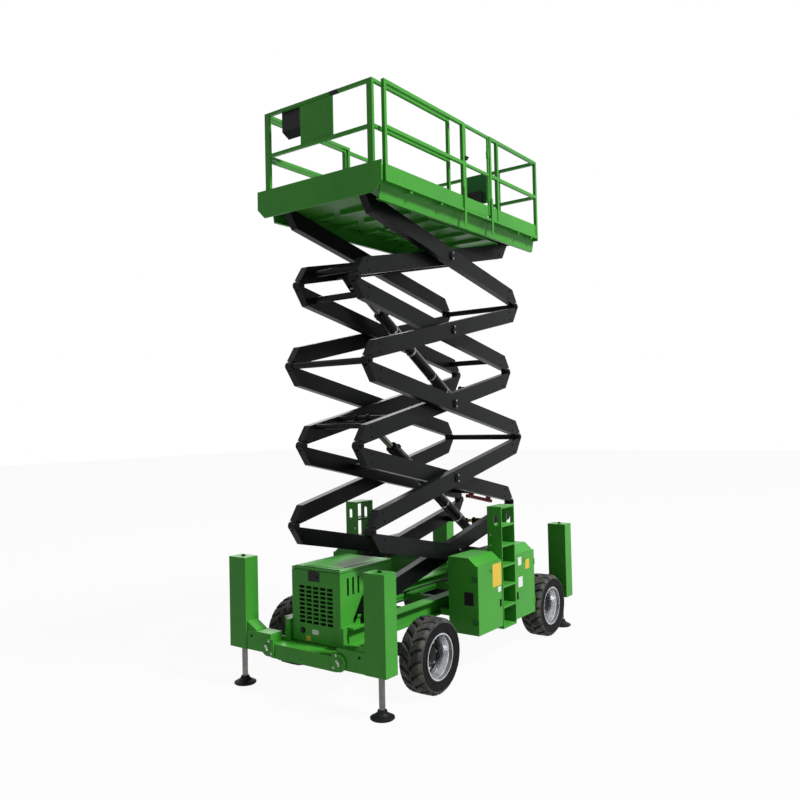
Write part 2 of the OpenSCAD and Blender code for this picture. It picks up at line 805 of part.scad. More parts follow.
// Both beams of an arm frame at y0, forked at the top, with a fork or a tongue at the bottom
module arm_pair(y0, low_fork) {
    both_sides() difference() {
        along_y(y0, y0 + beam_t) beam_outline();
        at_pin(1) fork_slot(y0);
        if (low_fork) {
            at_pin(-1) fork_slot(y0);
        } else {
            at_pin(-1) tongue_cuts(y0);
            at_pin(-1) rod_y(pin_r + run_gap, y0 - 5, y0 + beam_t + 5);
        }
        if (y0 == outer_y) rod_y(centre_r + run_gap, y0 - 5, y0 + beam_t + 5);
    }
    both_sides() {
        at_pin(1) fork_pin(y0);
        if (low_fork) at_pin(-1) fork_pin(y0);
    }
}

// Cross tube between the beams of a frame at y0
module cross_tube(u, v, r, y0) {
    translate([u, 0, v]) rod_y(r, -y0 - 2, y0 + 2);
}

// Centre pins of an inner frame, through the outer beams
module centre_pins() {
    both_sides() {
        rod_y(collar_r, inner_y1 - 2, outer_y - 3);
        rod_y(centre_r, inner_y1 - 2, outer_y1 + 4);
        rod_y(cap_r, outer_y1 + 2, outer_y1 + 2 + cap_t);
    }
}

// Lugs for a cylinder's eye at (u1, v1), standing on a tube at (u0, v0)
module eye_lugs(u0, v0, u1, v1, mid_y) {
    dist = norm([u1 - u0, v1 - v0]);
    turn = atan2(v1 - v0, u1 - u0);
    in_y = cyl_eye_w / 2 + lug_gap;
    for (y = [mid_y - in_y - lug_t, mid_y + in_y]) translate([u0, 0, v0]) rotate([0, -turn, 0])
        along_y(y, y + lug_t) link_outline(48, 44, dist);
}

// Pin through a pair of lugs at (u, v)
module lug_pin(u, v, mid_y) {
    half = cyl_eye_w / 2 + lug_gap + lug_t + 8;
    translate([u, 0, v]) rod_y(cyl_pin_r, mid_y - half, mid_y + half);
}

// Pin heads outside a pair of lugs at (u, v), leaving the space between them free
module lug_heads(u, v, mid_y) {
    out_y = cyl_eye_w / 2 + lug_gap + lug_t;
    for (y = [mid_y - out_y - 10, mid_y + out_y - 2]) translate([u, 0, v]) rod_y(cyl_pin_r, y, y + 12);
}

// Mount of a cylinder's base on stub tubes, open between its two lugs for the barrel
module base_mount(base_v, mid_y) {
    out_y = cyl_eye_w / 2 + lug_gap + lug_t - 2;
    translate([base_u, 0, base_tube_v]) {
        rod_y(tube_r, -inner_y - 2, mid_y - out_y);
        rod_y(tube_r, mid_y + out_y, inner_y + 2);
    }
    eye_lugs(base_u, base_tube_v, base_u, base_v, mid_y);
    lug_pin(base_u, base_v, mid_y);
}

// Puts an arm of a stage in place; it rises to the front, or else to the rear
module place_arm(stage, to_front) {
    translate([arm_mid_x, 0, chassis_pin_z + (stages - stage + 0.5) * stage_h])
        mirror([to_front ? 0 : 1, 0, 0]) rotate([0, -beam_angle, 0]) children();
}

// Outer frames rise to the front on odd stages
module outer_1() color(charcoal) place_arm(1, true) {
    arm_pair(outer_y, false);
    at_pin(1) rod_y(tube_r, -outer_y - 2, outer_y + 2);
}

module outer_2() color(charcoal) place_arm(2, false) {
    arm_pair(outer_y, false);
    at_pin(1) rod_y(tube_r, -outer_y - 2, outer_y + 2);
}

module outer_3() color(charcoal) place_arm(3, true) {
    arm_pair(outer_y, false);
    at_pin(1) rod_y(tube_r, -outer_y - 2, outer_y + 2);
}

module outer_4() color(charcoal) place_arm(4, false) {
    arm_pair(outer_y, false);
    at_pin(1) rod_y(tube_r, -outer_y - 2, outer_y + 2);
}

module outer_5() color(charcoal) place_arm(5, true) {
    arm_pair(outer_y, true);
    at_pin(-1) rod_y(tube_r, -outer_y - 2, outer_y + 2);
    both_sides() at_pin(-1) fork_roller(outer_y);
}

// Inner frames rise to the rear on odd stages
module inner_1() color(charcoal) place_arm(1, false) {
    arm_pair(inner_y, false);
    centre_pins();
    both_sides() at_pin(1) fork_roller(inner_y);
    cross_tube(end_tube_u, 0, tube_r, inner_y);
    cross_tube(-end_tube_u, 0, tube_r, inner_y);
    cross_tube(eye_tube_u, upper_eye_tube_v, eye_tube_r, inner_y);
    eye_lugs(eye_tube_u, upper_eye_tube_v, eye_u, upper_eye_v, upper_cyl_y);
    lug_heads(eye_u, upper_eye_v, upper_cyl_y);
}

module inner_2() color(charcoal) place_arm(2, true) {
    arm_pair(inner_y, false);
    centre_pins();
    cross_tube(end_tube_u, 0, tube_r, inner_y);
    cross_tube(-end_tube_u, 0, tube_r, inner_y);
}

module inner_3() color(charcoal) place_arm(3, false) {
    arm_pair(inner_y, false);
    centre_pins();
    cross_tube(-end_tube_u, 65, slim_tube_r, inner_y);
    cross_tube(eye_tube_u, lower_eye_tube_v, eye_tube_r, inner_y);
    eye_lugs(eye_tube_u, lower_eye_tube_v, eye_u, lower_eye_v, lower_cyl_y);
    lug_heads(eye_u, lower_eye_v, lower_cyl_y);
    base_mount(upper_base_v, upper_cyl_y);
}

module inner_4() color(charcoal) place_arm(4, true) {
    arm_pair(inner_y, false);
    centre_pins();
    cross_tube(hood_free_u, 0, tube_r, inner_y);
    cross_tube(-end_tube_u, 0, tube_r, inner_y);
    translate([prop_stub_u, 0, 0]) rod_y(tube_r, prop_y0 - 30, inner_y + 2);
}

module inner_5() color(charcoal) place_arm(5, false) {
    arm_pair(inner_y, true);
    centre_pins();
    cross_tube(-hood_free_u, 0, tube_r, inner_y);
    base_mount(lower_base_v, lower_cyl_y);
}

// Red safety prop, stowed under a tube and a stub of the fourth inner frame
module safety_prop() color(red) place_arm(4, true) {
    prop_h = 44;
    overhang = 70;
    tab_half = 20;
    top = -beam_h / 2 - edge_gap / 2;
    along_y(prop_y0, prop_y0 + 60) {
        translate([-end_tube_u - overhang, top - prop_h])
            square([prop_stub_u + end_tube_u + 2 * overhang, prop_h]);
        translate([prop_stub_u + overhang, top - prop_h / 2]) circle(r = prop_h / 2 + 4);
        for (u = [-end_tube_u, prop_stub_u])
            translate([u - tab_half, top - 5]) square([2 * tab_half, 5 - top - tube_r - seat_gap]);
    }
}

// Lift cylinders

// Place of a point of an inner frame that rises to the rear, as [x, z]
function inner_point(stage, u, v) = [
    arm_mid_x - u * cos(beam_angle) + v * sin(beam_angle),
    chassis_pin_z + (stages - stage + 0.5) * stage_h + u * sin(beam_angle) + v * cos(beam_angle)];

// Eyes of the two cylinders, as [x, z]
lower_base = inner_point(5, base_u, lower_base_v);
lower_eye = inner_point(3, eye_u, lower_eye_v);
upper_base = inner_point(3, base_u, upper_base_v);
upper_eye = inner_point(1, eye_u, upper_eye_v);

// Puts a cylinder's own axis, along x from the base eye, between its two eyes
module place_cylinder(base, eye, mid_y) {
    translate([base[0], mid_y, base[1]])
        rotate([0, -atan2(eye[1] - base[1], eye[0] - base[0]), 0]) children();
}

// Barrel with its base eye and gland, bored for the rod
module barrel_shape(len) {
    difference() {
        union() {
            rod_y(cyl_eye_r, -cyl_eye_w / 2, cyl_eye_w / 2);
            rod_x(barrel_d / 2, barrel_start, len);
            rod_x(barrel_d / 2 + 10, len - gland_len, len);
        }
        rod_y(cyl_pin_r + run_gap, -cyl_eye_w, cyl_eye_w);
        rod_x(rod_d / 2 + run_gap, barrel_start + 20, len + 5);
    }
}

// Rod with its eye at a distance of reach from the base eye
module rod_shape(reach, len) {
    rod_x(rod_d / 2, reach - len, reach);
    translate([reach, 0, 0]) rod_y(cyl_eye_r - 6, -cyl_eye_w / 2, cyl_eye_w / 2);
}

module barrel_lower() color(black) place_cylinder(lower_base, lower_eye, lower_cyl_y)
    barrel_shape(lower_barrel_len);
module rod_lower() color(silver) place_cylinder(lower_base, lower_eye, lower_cyl_y)
    rod_shape(norm(lower_eye - lower_base), lower_barrel_len - rod_lag);
module barrel_upper() color(black) place_cylinder(upper_base, upper_eye, upper_cyl_y)
    barrel_shape(upper_barrel_len);
module rod_upper() color(silver) place_cylinder(upper_base, upper_eye, upper_cyl_y)
    rod_shape(norm(upper_eye - upper_base), upper_barrel_len - rod_lag);

// Platform

// Cross section of the left edge: edge bar, and a skirt that leans in below it with a flange at its foot
module edge_section() {
    skirt_y = deck_half_w - skirt_in;
    foot_y = skirt_y - skirt_lean;
    foot_z = deck_z - skirt_h;
    translate([deck_half_w - 26, deck_z - ledge_t]) square([26, ledge_t]);
    polygon([[skirt_y, deck_bottom + 2], [foot_y, foot_z],
             [foot_y - skirt_t, foot_z], [skirt_y - skirt_t, deck_bottom + 2]]);
    translate([foot_y - 40, foot_z]) square([40, 12]);
}

// Deck plate with its edges, front pivot plates, rear roller guides, ribs and tabs
module deck() color(green) {
    plate_half = beam_t / 2 - cheek_t - lap_gap;
    pivot_y = outer_y + beam_t / 2;
    member_z = top_pin_z + 14;
    guide_x1 = front_pin_x - arm_pitch * 0.45;
    guide_y0 = inner_y - 16;
    guide_y1 = inner_y1 + 26;
    skirt_y = deck_half_w - skirt_in;
    rib_x = [deck_rear_x + 20 : 480 : front_pin_x - 300];
    block(deck_rear_x, deck_front_x, -deck_half_w + 5, deck_half_w - 5, deck_bottom, deck_z);
    both_sides() {
        along_x(deck_rear_x, deck_front_x) edge_section();
        translate([front_pin_x, 0, top_pin_z]) mirror([0, 0, 1])
            pin_plate(pivot_y - plate_half, pivot_y + plate_half, deck_bottom - top_pin_z + 5, 110);
        for (y = [guide_y0, guide_y1]) block(deck_rear_x, guide_x1, y - 10, y, member_z, deck_bottom + 5);
        for (x = rib_x) block(x, x + 50, guide_y1 - 5, skirt_y - skirt_t, member_z, deck_bottom + 5);
        for (x = tab_x) block(x - 22, x + 22, deck_half_w - 40, deck_half_w - 10,
                              deck_z - ledge_t - 30, deck_z - ledge_t + 2);
    }
    for (x = rib_x) block(x, x + 50, -guide_y0 + 5, guide_y0 - 5, member_z, deck_bottom + 5);
    block(deck_rear_x, deck_rear_x + 8, -deck_half_w + 5, deck_half_w - 5, deck_z - 60, deck_z);
}

// Square post from z0 to the top rail at (x, y); r is half its width
module post(x, y, z0, r) {
    block(x - r, x + r, y - r, y + r, z0, rail_top_z + r);
}

// Square rail along x between two places
module bar_x(x0, x1, y, z, r) {
    block(x0, x1, y - r, y + r, z - r, z + r);
}

// Square rail along y between two places
module bar_y(x, y0, y1, z, r) {
    block(x - r, x + r, y0, y1, z - r, z + r);
}

// Part of a side's guard rail between two posts, with a toe board
module rail_bay(x0, x1) {
    for (z = [rail_mid_z, rail_top_z]) bar_x(x0, x1, main_rail_y, z, guard_r);
    for (x = [x0, x1]) post(x, main_rail_y, deck_z + seat_gap, guard_r);
    block(x0, x1, main_rail_y + 2, main_rail_y + 2 + toe_t, deck_z + seat_gap, toe_z);
}

// Bracket that holds a gate post outside the deck's edge, down to the skirt's foot
module gate_bracket(x) {
    y1 = deck_half_w + 10;
    block(x - guard_r, x + guard_r, main_rail_y, y1, deck_z + seat_gap, deck_z + 270);
    block(x - guard_r, x + guard_r, deck_half_w + seat_gap, y1, deck_z - skirt_h, deck_z + 20);
}

module rails_left() color(green) {
    for (x = [gate_rear_x, gate_front_x]) gate_bracket(x);
    rail_bay(gate_front_x, deck_front_x - guard_r);
    rail_bay(deck_rear_x + guard_r, gate_rear_x);
    post(fold_post_x, main_rail_y, deck_z + seat_gap, guard_r);
}

module rails_right() color(green) mirror([0, 1, 0]) {
    rail_bay(deck_rear_x + guard_r, deck_front_x - guard_r);
    for (x = [fold_post_x, ext_rear_x]) post(x, main_rail_y, deck_z + seat_gap, guard_r);
}

module rails_rear() color(green) {
    x = deck_rear_x + guard_r;
    half = main_rail_y - guard_r - seat_gap;
    for (z = [rail_mid_z, rail_top_z]) bar_y(x, -half, half, z, guard_r);
    block(x - 14, x - 14 + toe_t, -half, half, deck_z + seat_gap, toe_z);
    for (y = [-half / 3, half / 3]) post(x, y, deck_z + seat_gap, guard_r);
}

// Side gate: a round hinge post with two sleeves that touch the post behind it, and square rails
module gate() color(green) {
    r = guard_r - 4;
    x0 = gate_hinge_x;
    x1 = gate_front_x - guard_r - r - panel_gap;
    z0 = deck_z + 40;
    sleeve_r = x0 - gate_rear_x - guard_r - seat_gap;
    sleeve_h = 90;
    for (z = [rail_mid_z, rail_top_z]) bar_x(x0, x1, main_rail_y, z, r);
    translate([x0, main_rail_y, z0]) cylinder(r = r, h = rail_top_z + r - z0);
    post(x1, main_rail_y, z0, r);
    block(x0, x1, main_rail_y - 4, main_rail_y + 4, z0, toe_z);
    for (z = [toe_z + 60, rail_mid_z + 230])
        translate([x0, main_rail_y, z]) cylinder(r = sleeve_r, h = sleeve_h);
}

// Extension deck with its front toe plate, corners cut at the bottom
module extension_deck() color(green) {
    toe_half = deck_half_w + 38;
    cut = 110;
    toe_bottom = deck_z - toe_under_deck;
    plate_x = ext_front_x - ext_plate_t;
    block(ext_rear_x, plate_x + 2, -ext_half_w, ext_half_w, ext_floor_z, ext_floor_z + ext_floor_t);
    along_x(plate_x, ext_front_x) polygon([
        [-toe_half + cut, toe_bottom], [toe_half - cut, toe_bottom],
        [toe_half, toe_bottom + cut], [toe_half, toe_z],
        [-toe_half, toe_z], [-toe_half, toe_bottom + cut]]);
    both_sides() block(ext_rear_x, plate_x + 2, ext_half_w - toe_t, ext_half_w, ext_floor_z, toe_z - 20);
}

// Guard rail of the extension, its front corner posts doubled, with a plain panel at the middle
module extension_rails() color(green) {
    r = ext_rail_r;
    z0 = ext_floor_z + ext_floor_t + seat_gap;
    x0 = ext_rear_x + r;
    x1 = ext_front_x - ext_plate_t - r - seat_gap;
    side_y = ext_half_w - toe_t - r - seat_gap;
    panel_half = 250;
    both_sides() {
        for (z = [rail_mid_z, rail_top_z]) bar_x(x0, x1, side_y, z, r);
        for (x = [x0, x1]) post(x, side_y, z0, r);
        post(x1, side_y - 2 * r + 2, z0, r);
    }
    for (z = [rail_mid_z, rail_top_z]) bar_y(x1, -side_y, side_y, z, r);
    block(x1 - 6, x1 + 6, -panel_half, panel_half, rail_mid_z, rail_top_z);
}

// Control box hung behind the front rail, its top sloped to the operator and its foot drawn in
module control_box() color(charcoal) {
    x1 = ext_front_x - ext_plate_t - 2 * ext_rail_r - 2 * seat_gap;
    y0 = -570;
    y1 = -290;
    z1 = rail_top_z;
    difference() {
        along_y(y0, y1) polygon([[x1, z1], [x1 - 60, z1], [x1 - 200, z1 - 130], [x1 - 225, z1 - 210],
                                 [x1 - 110, z1 - 310], [x1, z1 - 250]]);
        block(x1 - 240, x1 - 165, y0 + 30, y1 - 30, z1 - 215, z1 - 165);
    }
}

// Flat box for documents on the rear rail: a back plate with an open tray at its foot
module document_box() color(dark_green) {
    x0 = deck_rear_x + 2 * guard_r + seat_gap;
    y0 = -250;
    y1 = 170;
    z0 = rail_top_z - 440;
    back_t = 22;
    tray_d = 110;
    tray_h = 170;
    wall = 10;
    block(x0, x0 + back_t, y0, y1, z0, rail_top_z);
    difference() {
        block(x0, x0 + tray_d, y0, y1 - 120, z0, z0 + tray_h);
        block(x0 + back_t, x0 + tray_d - wall, y0 + wall, y1 - 120 - wall, z0 + wall, z0 + tray_h + 10);
    }
}

chassis_rails();
chassis_ends();
chassis_ears();
chassis_cross();
axle_front();
axle_rear();
knuckle_fl();
knuckle_fr();
tyre_fl();
tyre_fr();
tyre_rl();
tyre_rr();
rim_fl();
rim_fr();
rim_rl();
rim_rr();
outrigger_legs();
jack_rod_fl();
jack_rod_fr();
jack_rod_rl();
jack_rod_rr();
jack_foot_fl();
jack_foot_fr();
jack_foot_rl();
jack_foot_rr();
engine_hood();
engine_block();
hood_lid();
hood_door();
cabinets();
door_left_front();
door_left_rear();
door_right_front();
door_right_rear();
ladders();
outer_1();
outer_2();
outer_3();
outer_4();
outer_5();
inner_1();
inner_2();
inner_3();
inner_4();
inner_5();
barrel_lower();
rod_lower();
barrel_upper();
rod_upper();
safety_prop();
deck();
rails_left();
rails_right();
rails_rear();
gate();
extension_deck();
extension_rails();
control_box();
document_box();
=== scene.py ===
"""Looks of a rough-terrain scissor lift: finishes, fine parts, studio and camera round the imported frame."""

import json
import logging
import math
from dataclasses import dataclass, field
from enum import Enum
from typing import Callable, Iterable, Sequence

import bmesh
import bpy
from mathutils import Matrix, Vector


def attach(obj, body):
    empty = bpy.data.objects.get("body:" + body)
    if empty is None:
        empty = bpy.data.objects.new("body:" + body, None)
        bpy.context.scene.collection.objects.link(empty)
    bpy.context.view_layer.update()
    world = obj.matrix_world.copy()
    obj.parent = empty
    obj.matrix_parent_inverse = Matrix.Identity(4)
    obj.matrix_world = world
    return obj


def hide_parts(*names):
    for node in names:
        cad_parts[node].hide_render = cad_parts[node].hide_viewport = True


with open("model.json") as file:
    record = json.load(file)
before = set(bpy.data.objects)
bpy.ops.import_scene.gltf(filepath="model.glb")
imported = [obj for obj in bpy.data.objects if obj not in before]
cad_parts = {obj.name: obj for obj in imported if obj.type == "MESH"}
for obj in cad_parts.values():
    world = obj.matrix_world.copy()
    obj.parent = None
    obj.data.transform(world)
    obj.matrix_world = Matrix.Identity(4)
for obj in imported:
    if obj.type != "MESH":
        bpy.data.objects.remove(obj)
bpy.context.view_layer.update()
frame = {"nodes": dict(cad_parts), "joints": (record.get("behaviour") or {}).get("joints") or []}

LOG = logging.getLogger("scissor_lift")
MM = 0.001
WHEELS = ("fl", "fr", "rl", "rr")
# Left and right, or front and rear
SIDES = (1, -1)
# Stands a turned piece's axis along z
UPRIGHT = Matrix.Rotation(math.pi / 2, 4, "X")
MIRROR_Y = Matrix.Diagonal((1, -1, 1, 1))
# Rounding of the thin blank plates
PLATE_EDGE = 0.0005

Point = Sequence[float]
Piece = bpy.types.Object


# Finishes


def linear(hex_colour: str) -> tuple[float, float, float, float]:
    """Turns an sRGB hex colour to linear values.

    Args:
        hex_colour: Colour such as "#2f8f3c".

    Returns:
        Linear red, green, blue and an alpha of 1.
    """
    channels = [int(hex_colour[i:i + 2], 16) / 255 for i in (1, 3, 5)]
    red, green, blue = (c / 12.92 if c <= 0.04045 else ((c + 0.055) / 1.055) ** 2.4 for c in channels)
    return red, green, blue, 1.0


def add_node(tree: bpy.types.NodeTree, kind: str, settings: dict, links: dict) -> bpy.types.Node:
    """Adds a shader node with its settings and input links.

    Args:
        tree: Node tree that takes the node.
        kind: Blender's name of the node.
        settings: Values by attribute or input name.
        links: Sockets to link, by name or number of the input.

    Returns:
        The new node.
    """
    node = tree.nodes.new(kind)
    for key, value in settings.items():
        if key in node.inputs:
            node.inputs[key].default_value = value
        else:
            setattr(node, key, value)
    for key, socket in links.items():
        tree.links.new(socket, node.inputs[key])
    return node


@dataclass(frozen=True)
class Finish:
    """One surface finish, with its colour, shine and grain.

    The shade is a slow change of colour such as dust or wear gives, and the grain a fine relief.
    """

    name: str
    colour: str
    roughness: float
    metallic: float = 0.0
    ior: float = 1.5
    coat: float = 0.0
    shade: str = ""
    shade_mm: float = 400.0
    shade_span: tuple[float, float] = (0.4, 0.58)
    grain_mm: float = 0.0
    grain_depth_mm: float = 0.0
    coat_roughness: float = 0.08
    bump: float = 0.5

    def build(self) -> bpy.types.Material:
        """Makes the material.

        Returns:
            A new material on Object coordinates.
        """
        material = bpy.data.materials.new(self.name)
        material.use_nodes = True
        tree = material.node_tree
        shader = tree.nodes["Principled BSDF"]
        shader.inputs["Base Color"].default_value = linear(self.colour)
        for key, value in (("Roughness", self.roughness), ("Metallic", self.metallic), ("IOR", self.ior),
                           ("Coat Weight", self.coat), ("Coat Roughness", self.coat_roughness)):
            shader.inputs[key].default_value = value
        place = {"Vector": add_node(tree, "ShaderNodeTexCoord", {}, {}).outputs["Object"]}
        if self.shade:
            cloud = add_node(tree, "ShaderNodeTexNoise",
                             {"Scale": 1 / (self.shade_mm * MM), "Detail": 5.0, "Roughness": 0.62}, place)
            ramp = add_node(tree, "ShaderNodeValToRGB", {}, {"Fac": cloud.outputs["Fac"]})
            for stop, at, colour in zip(ramp.color_ramp.elements, self.shade_span, (self.shade, self.colour)):
                stop.position = at
                stop.color = linear(colour)
            tree.links.new(ramp.outputs["Color"], shader.inputs["Base Color"])
        if self.grain_mm:
            grit = add_node(tree, "ShaderNodeTexNoise",
                            {"Scale": 1 / (self.grain_mm * MM), "Detail": 2.0}, place)
            relief = {"Strength": self.bump, "Distance": self.grain_depth_mm * MM}
            bump = add_node(tree, "ShaderNodeBump", relief, {"Height": grit.outputs["Fac"]})
            tree.links.new(bump.outputs["Normal"], shader.inputs["Normal"])
        return material


class Coat(Enum):
    """Finishes of the machine, named for what the real ones are."""

    # Two-pack gloss enamel sprayed on steel: a clear shine with a faint orange peel
    GREEN = Finish("green_enamel", "#419531", 0.34, ior=1.22, coat=0.05, shade="#3d8d32", shade_mm=900,
                   grain_mm=9, grain_depth_mm=0.05)
    # Bought-in parts, the moulded document box and the cabinet hinges: a deeper green, duller
    DARK_GREEN = Finish("dark_green_moulding", "#256a33", 0.48, ior=1.25, grain_mm=4, grain_depth_mm=0.08)
    # Satin charcoal enamel on the arms, dusty on top of its shine
    CHARCOAL = Finish("charcoal_enamel", "#0f1112", 0.36, ior=1.18, coat=0.04, shade="#0c0d0e", shade_mm=500,
                      grain_mm=8, grain_depth_mm=0.05)
    # Cast and forged parts under black primer: rough, little shine
    BLACK = Finish("black_primer", "#131415", 0.46, ior=1.22, shade="#0e0f0f", shade_mm=260, grain_mm=5,
                   grain_depth_mm=0.15)
    # Carbon-black rubber, moulded: matt, worn grey and dusted on the tread
    TYRE = Finish("tyre_rubber", "#323637", 0.7, ior=1.25, shade="#524f48", shade_mm=130, grain_mm=6,
                  grain_depth_mm=0.35)
    # Same rubber on the tyre's walls, which no road has worn
    WALL = Finish("tyre_wall_rubber", "#0f100f", 0.58, ior=1.15, shade="#171817", shade_mm=90, grain_mm=6,
                  grain_depth_mm=0.2)
    # Black moulded plastic and rubber trim
    TRIM = Finish("black_moulding", "#101112", 0.42, ior=1.25, grain_mm=2, grain_depth_mm=0.08)
    # Aluminium paint on pressed steel rims: bright and slightly uneven
    SILVER = Finish("aluminium_paint", "#d4d6d8", 0.26, metallic=0.75, shade="#babdc0", shade_mm=70)
    # Ground and chromed rod: mirror shine
    CHROME = Finish("chromed_rod", "#72736e", 0.2, metallic=1.0, shade="#62645f", shade_mm=160)
    # Zinc-plated bolts: grey with a soft shine
    ZINC = Finish("zinc_plate", "#a8a9a6", 0.38, metallic=1.0)
    # Oily yellow chromate on hydraulic fittings
    BRASS = Finish("yellow_chromate", "#b59a4f", 0.35, metallic=1.0)
    # Red enamel on the safety prop and the stop button
    RED = Finish("red_enamel", "#8f1d1a", 0.36, ior=1.3, coat=0.05, shade="#741614", shade_mm=200)
    # Yellow vinyl of the blank plates, with a dull shine
    YELLOW = Finish("yellow_vinyl", "#cfae2a", 0.4)
    # Same vinyl in white
    WHITE = Finish("white_vinyl", "#d9dcda", 0.4)

    def material(self) -> bpy.types.Material:
        """Returns the finish's material, made on first use."""
        return bpy.data.materials.get(self.value.name) or self.value.build()


# Shapes, made with Blender's own operators


class Axis(Enum):
    """Directions that flat pieces face."""

    X = Vector((1, 0, 0))
    Y = Vector((0, 1, 0))
    Z = Vector((0, 0, 1))
    RIGHT = Vector((0, -1, 0))


def choose(*pieces: Piece) -> None:
    """Selects only these pieces and makes the first one active."""
    bpy.ops.object.select_all(action="DESELECT")
    for piece in pieces:
        piece.select_set(True)
    bpy.context.view_layer.objects.active = pieces[0]


def settle(piece: Piece) -> Piece:
    """Moves a piece's place, turn and size into its mesh and returns it."""
    choose(piece)
    bpy.ops.object.transform_apply(location=True, rotation=True, scale=True)
    return piece


def cuboid(low: Point, high: Point, edge: float = 0.0, segments: int = 1) -> Piece:
    """Makes a box with bevelled edges.

    Args:
        low: Lowest corner.
        high: Highest corner.
        edge: Width of the bevel, or 0 for sharp edges.
        segments: Faces across a bevel.

    Returns:
        The new piece.
    """
    low, high = Vector(low), Vector(high)
    bpy.ops.mesh.primitive_cube_add(size=1, location=(low + high) / 2)
    piece = bpy.context.object
    piece.scale = high - low
    settle(piece)
    return bevel(piece, edge, segments) if edge else piece


def drum(start: Point, end: Point, radius: float, sides: int, edge: float = 0.0) -> Piece:
    """Makes a round bar between two points, its rims bevelled.

    Args:
        start: Middle of the first end.
        end: Middle of the other end.
        radius: Radius of the bar.
        sides: Faces round it.
        edge: Width of the bevel at both rims.

    Returns:
        The new piece.
    """
    start, end = Vector(start), Vector(end)
    along = end - start
    bpy.ops.mesh.primitive_cylinder_add(
        vertices=sides, radius=radius, depth=along.length, location=(start + end) / 2,
        rotation=along.to_track_quat("Z", "Y").to_euler())
    piece = settle(bpy.context.object)
    if not edge:
        return piece

    def on_rim(line: bmesh.types.BMEdge) -> bool:
        """Tells an edge round a rim from one along the bar."""
        run = line.verts[1].co - line.verts[0].co
        return abs(run.normalized().dot(along.normalized())) < 0.5

    return bevel(piece, edge, 2, on_rim)


def pick(piece: Piece, kind: str, test: Callable[..., bool]) -> None:
    """Opens a piece for editing and selects the edges or faces that a test picks.

    Args:
        piece: Piece to open.
        kind: EDGE or FACE.
        test: Picks an edge or a face.
    """
    choose(piece)
    bpy.ops.object.mode_set(mode="EDIT")
    bpy.ops.mesh.select_mode(type=kind)
    bpy.ops.mesh.select_all(action="DESELECT")
    mesh = bmesh.from_edit_mesh(piece.data)
    for item in mesh.edges if kind == "EDGE" else mesh.faces:
        item.select_set(test(item))
    bmesh.update_edit_mesh(piece.data)


def bevel(piece: Piece, width: float, segments: int = 1,
          test: Callable[..., bool] = lambda edge: True) -> Piece:
    """Bevels the edges that a test picks.

    Args:
        piece: Piece to shape.
        width: Width of the bevel.
        segments: Faces across it.
        test: Picks an edge.

    Returns:
        The same piece.
    """
    pick(piece, "EDGE", test)
    bpy.ops.mesh.bevel(offset=width, segments=segments, affect="EDGES", clamp_overlap=True)
    bpy.ops.object.mode_set(mode="OBJECT")
    return piece


def sink(piece: Piece, look: Axis, border: float, depth: float) -> Piece:
    """Insets the faces that look one way and pushes them in.

    Args:
        piece: Piece to shape.
        look: Side that is pushed in.
        border: Rim that is left round it.
        depth: Depth of the recess, or its height where it is negative.

    Returns:
        The same piece.
    """
    pick(piece, "FACE", lambda face: face.normal.dot(look.value) > 0.99)
    bpy.ops.mesh.inset(thickness=border, depth=-depth, use_even_offset=True)
    bpy.ops.object.mode_set(mode="OBJECT")
    return piece


def panel(low: Point, high: Point, edge: float, segments: int, look: Axis, border: float,
          depth: float) -> Piece:
    """Makes a bevelled box whose face on one side is sunk inside a border."""
    return sink(cuboid(low, high, edge, segments), look, border, depth)


def lathe(profile: Sequence[tuple[float, float]], steps: int) -> Piece:
    """Spins an outline round the y axis.

    Args:
        profile: Points of the outline, as distance from the axis and place along it.
        steps: Faces round the axis.

    Returns:
        The new piece.
    """
    bpy.ops.mesh.primitive_plane_add(size=1)
    piece = bpy.context.object
    bpy.ops.object.mode_set(mode="EDIT")
    bpy.ops.mesh.select_mode(type="VERT")
    bpy.ops.mesh.select_all(action="SELECT")
    bpy.ops.mesh.merge(type="CENTER")
    bpy.ops.transform.translate(value=(profile[0][0], profile[0][1], 0))
    for before, after in zip(profile, profile[1:]):
        step = (after[0] - before[0], after[1] - before[1], 0)
        bpy.ops.mesh.extrude_vertices_move(TRANSFORM_OT_translate={"value": step})
    bpy.ops.mesh.select_all(action="SELECT")
    bpy.ops.mesh.spin(steps=steps, angle=math.tau, center=(0, 0, 0), axis=(0, 1, 0))
    bpy.ops.mesh.select_all(action="SELECT")
    bpy.ops.mesh.remove_doubles(threshold=1e-5)
    bpy.ops.object.mode_set(mode="OBJECT")
    return face_out(piece)


def tube(points: Sequence[Point], radius: float) -> Piece:
    """Makes a round tube along points.

    Args:
        points: Points that its middle line bends towards.
        radius: Radius of the tube.

    Returns:
        The new piece, as a mesh.
    """
    bpy.ops.curve.primitive_nurbs_path_add()
    piece = bpy.context.object
    spline = piece.data.splines[0]
    spline.points.add(len(points) - len(spline.points))
    for control, point in zip(spline.points, points):
        control.co = (*point, 1.0)
    spline.order_u = 4
    spline.use_endpoint_u = True
    piece.data.bevel_depth = radius
    piece.data.bevel_resolution = 2
    piece.data.resolution_u = 6
    piece.data.use_fill_caps = True
    piece.location = (0, 0, 0)
    bpy.ops.object.convert(target="MESH")
    return piece


def mould(piece: Piece, shape: Callable[[Vector], Point]) -> Piece:
    """Moves every vertex to where a shape function puts it and returns the piece."""
    for vertex in piece.data.vertices:
        vertex.co = shape(vertex.co.copy())
    return face_out(piece)


def face_out(piece: Piece) -> Piece:
    """Turns the faces of a piece outward and returns it."""
    choose(piece)
    bpy.ops.object.mode_set(mode="EDIT")
    bpy.ops.mesh.select_all(action="SELECT")
    bpy.ops.mesh.normals_make_consistent(inside=False)
    bpy.ops.object.mode_set(mode="OBJECT")
    return piece


